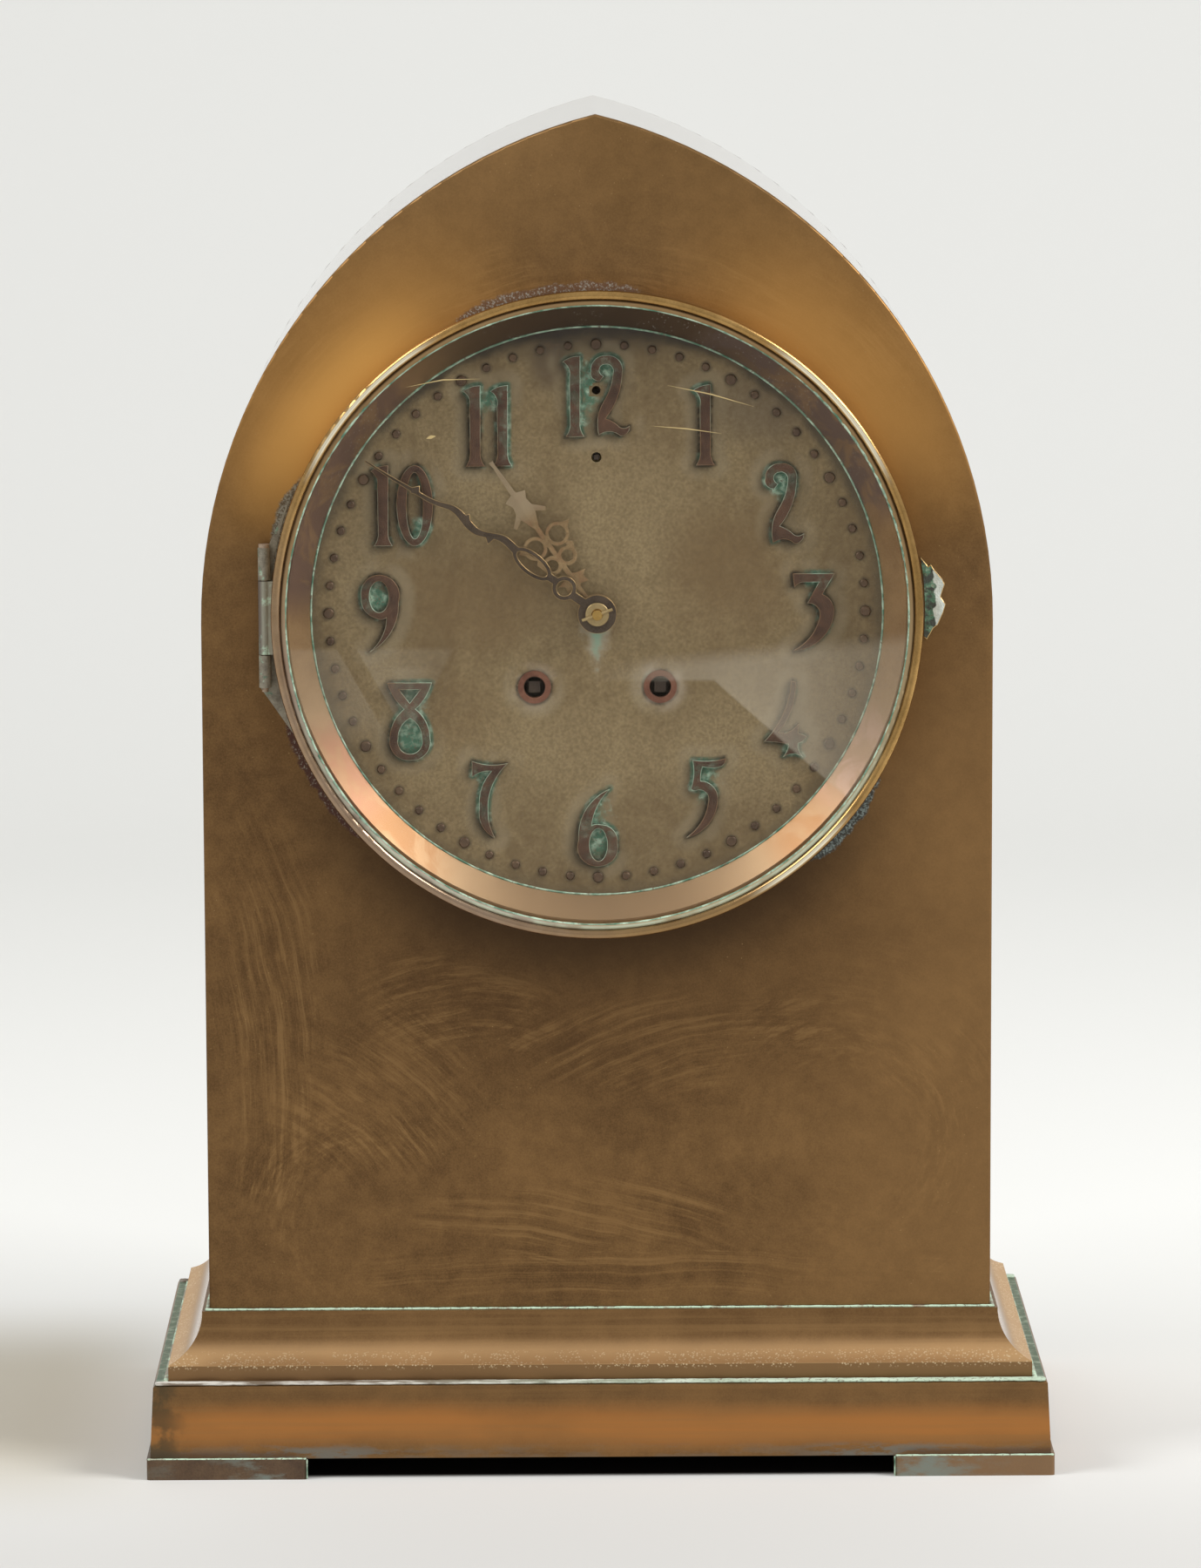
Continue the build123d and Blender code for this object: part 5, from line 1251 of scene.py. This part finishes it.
# Each mark: its two ends from the dial's centre, its bow and its width, in millimetres.
scratch_marks = [((-52.4, 63.8), (-31.9, 66.0), 0.9, 0.34),
                 ((19.5, 64.0), (43.4, 58.0), 0.5, 0.34),
                 ((15.2, 52.8), (34.5, 50.6), 0.3, 0.34),
                 ((-46.9, 49.6), (-44.3, 50.3), 0.1, 1.0)]
for number, (first, last, bow, wide) in enumerate(scratch_marks):
    along = Vector(last) - Vector(first)
    half = along.length * mm / 2
    bpy.ops.object.select_all(action="DESELECT")
    bpy.ops.mesh.primitive_plane_add(size=1, rotation=(math.pi / 2, 0, 0))
    strip = bpy.context.object
    strip.name = "glass_scratch_%d" % number
    bpy.ops.object.transform_apply(location=True, rotation=True, scale=True)
    bpy.ops.object.mode_set(mode="EDIT")
    bpy.ops.mesh.select_all(action="SELECT")
    bpy.ops.transform.resize(value=(2 * half, 1, wide * mm))
    bpy.ops.mesh.subdivide(number_cuts=1)
    bpy.ops.object.mode_set(mode="OBJECT")
    for sign in (-1, 1):
        pick(strip, "vertices", lambda vertex: vertex.co.x * sign > half / 2)
        bpy.ops.transform.resize(value=(1, 1, pointed))
        bpy.ops.object.mode_set(mode="OBJECT")
    pick(strip, "vertices", lambda vertex: abs(vertex.co.x) < half / 2)
    bpy.ops.transform.translate(value=(0, 0, bow * mm))
    bpy.ops.mesh.select_all(action="SELECT")
    bpy.ops.mesh.subdivide(number_cuts=7, smoothness=1.0)
    bpy.ops.object.mode_set(mode="OBJECT")
    thick = strip.modifiers.new("thick", "SOLIDIFY")
    thick.thickness = mark_thickness
    only(strip)
    bpy.ops.object.modifier_apply(modifier=thick.name)
    middle = (Vector(first) + Vector(last)) / 2 * mm
    strip.rotation_euler = (0, -math.atan2(along.y, along.x), 0)
    strip.location = (middle.x, pane_front - mark_gap, dial_height + middle.y)
    bpy.ops.object.transform_apply(location=True, rotation=True, scale=True)
    settle(strip, "bezel", scratch)

# %% [markdown]
# The parts that keep their CAD shape only need a finish. What isn't named here is bright brass, shut
# away from damp: the plates, wheels and pillars of the movement, and the ring that holds the glass.

# %% Give each CAD node its finish
looks = {
    case_front: ("front_plate",),
    case_plain: ("case_band", "back_panel", "rear_door"),
    cove_brass: ("cove_moulding",),
    plinth_brass: ("plinth",),
    foot_brass: ("feet",),
    bezel_brass: ("bezel_ring",),
    reveal_copper: ("reveal_ring",),
    dial_olive: ("dial_plate",),
    numeral_bronze: ("hour_numerals",),
    stud_bronze: ("minute_studs",),
    minute_bronze: ("minute_hand",),
    hour_brass: ("hour_hand",),
    washer_brass: ("hand_washer", "hand_pin", "rear_hinge_leaves", "rear_latch"),
    collar_copper: ("winding_collars",),
    leaf_grey: ("bezel_hinge_leaf",),
    hinge_grey: ("bezel_hinge_knuckle",),
    catch_torn: ("catch_plate",),
    glass: ("bezel_glass",),
    bell_bronze: ("bell",),
    pin_pink: ("bezel_hinge_pin",),
    arbor_dark: ("time_winding_arbor", "strike_winding_arbor", "regulator_arbor"),
    steel: ("base_bolts_and_nuts", "dial_screws", "pallet_anchor", "pendulum_rod", "rear_hinge_pins",
            "strike_hammer", "time_mainspring", "strike_mainspring", "time_click", "strike_click",
            "click_studs_and_springs", "strike_fly", "bell_stand"),
}
finish_of = {name: material for material, names in looks.items() for name in names}
for name, node in nodes.items():
    node.data.materials.clear()
    node.data.materials.append(finish_of.get(name, movement_brass))
print("CAD nodes with a finish:", len(nodes))

# %% [markdown]
# The studio is a pale paper sweep: a floor that curves up into a backdrop, so no corner shows.
# Its back is clear, so that the clock can also be looked at from behind the paper.
# The paper is a little darker in front, a painted shadow darkens it at the left, and it is painted black
# as shadow where no light gets under the plinth.

# %% Studio sweep
bpy.ops.object.select_all(action="DESELECT")
bpy.ops.mesh.primitive_plane_add(size=1, location=(0, 0, 0))
floor = bpy.context.object
floor.name = "studio_sweep"
bpy.ops.object.mode_set(mode="EDIT")
bpy.ops.transform.resize(value=(8, 6, 1))
bpy.ops.transform.translate(value=(0, -2.0, 0))
bpy.ops.object.mode_set(mode="OBJECT")
pick(floor, "edges", lambda edge: all(floor.data.vertices[v].co.y > 0.9 for v in edge.vertices))
sweep_step, sweep_turns, wall_height = 0.09, 12, 3
for turn in range(sweep_turns):
    angle = math.radians(90 / sweep_turns * turn)
    rise = (0, sweep_step * math.cos(angle), sweep_step * math.sin(angle))
    bpy.ops.mesh.extrude_region_move(TRANSFORM_OT_translate={"value": rise})
bpy.ops.mesh.extrude_region_move(TRANSFORM_OT_translate={"value": (0, 0, wall_height)})
bpy.ops.object.mode_set(mode="OBJECT")
bpy.ops.object.shade_smooth()
paper, place, shader = finish("studio_paper")
across, depth, height = in_mm(place)
toned = mix(ramp(depth, 100.0, -190.0), colour(232, 232, 229), colour(203, 202, 199))
# A painted shadow darkens the paper at the left of the clock.
left_painted_shadow = ramp(across, -105.0, -165.0) * band(depth, -20.0, 60.0, 110.0)
toned = mix(left_painted_shadow, toned, colour(196, 190, 176))
# Under the plinth the paper is painted black as shadow.
under_plinth_shadow = band(across, -83.0, 83.0, 2.0) * band(depth, -64.0, 64.0, 4.0)
seen_from_behind = Wire(node_beside([place], "ShaderNodeNewGeometry").outputs["Backfacing"])
fill(shader, Base_Color=mix(under_plinth_shadow, toned, colour(26, 20, 18)), Alpha=1.0 - seen_from_behind,
     Roughness=0.9, Specular_IOR_Level=0.1)
floor.data.materials.append(paper)
print("sweep points:", len(floor.data.vertices))

# %% [markdown]
# Two soft boxes stand high at the left and right, because the bright patches low on the reveal lie
# where that cone would mirror them. An even white world fills the rest, at a level where colours
# come out about as they are written.

# %% Light
world = bpy.data.worlds.new("studio_light")
scene.world = world
world.use_nodes = True
fill(world.node_tree.nodes["Background"], Color=(1, 1, 1, 1), Strength=0.62)


lamp_size = 0.7
aim_point = Vector((0, 0, 0.2))


def softbox(name, place, power):
    """A square lamp that looks at the clock. Its place is in metres."""
    lamp = bpy.data.lights.new(name, "AREA")
    lamp.shape = "RECTANGLE"
    lamp.size = lamp_size
    lamp.size_y = lamp_size
    lamp.energy = power
    holder = bpy.data.objects.new(name, lamp)
    holder.location = place
    aim = aim_point - Vector(place)
    holder.rotation_euler = aim.to_track_quat("-Z", "Y").to_euler()
    scene.collection.objects.link(holder)


softbox("left_box", (-1.15, -0.45, 1.3), 12.5)
softbox("right_box", (1.2, -0.45, 1.25), 21)
print("lamps:", [lamp.name for lamp in bpy.data.lights])
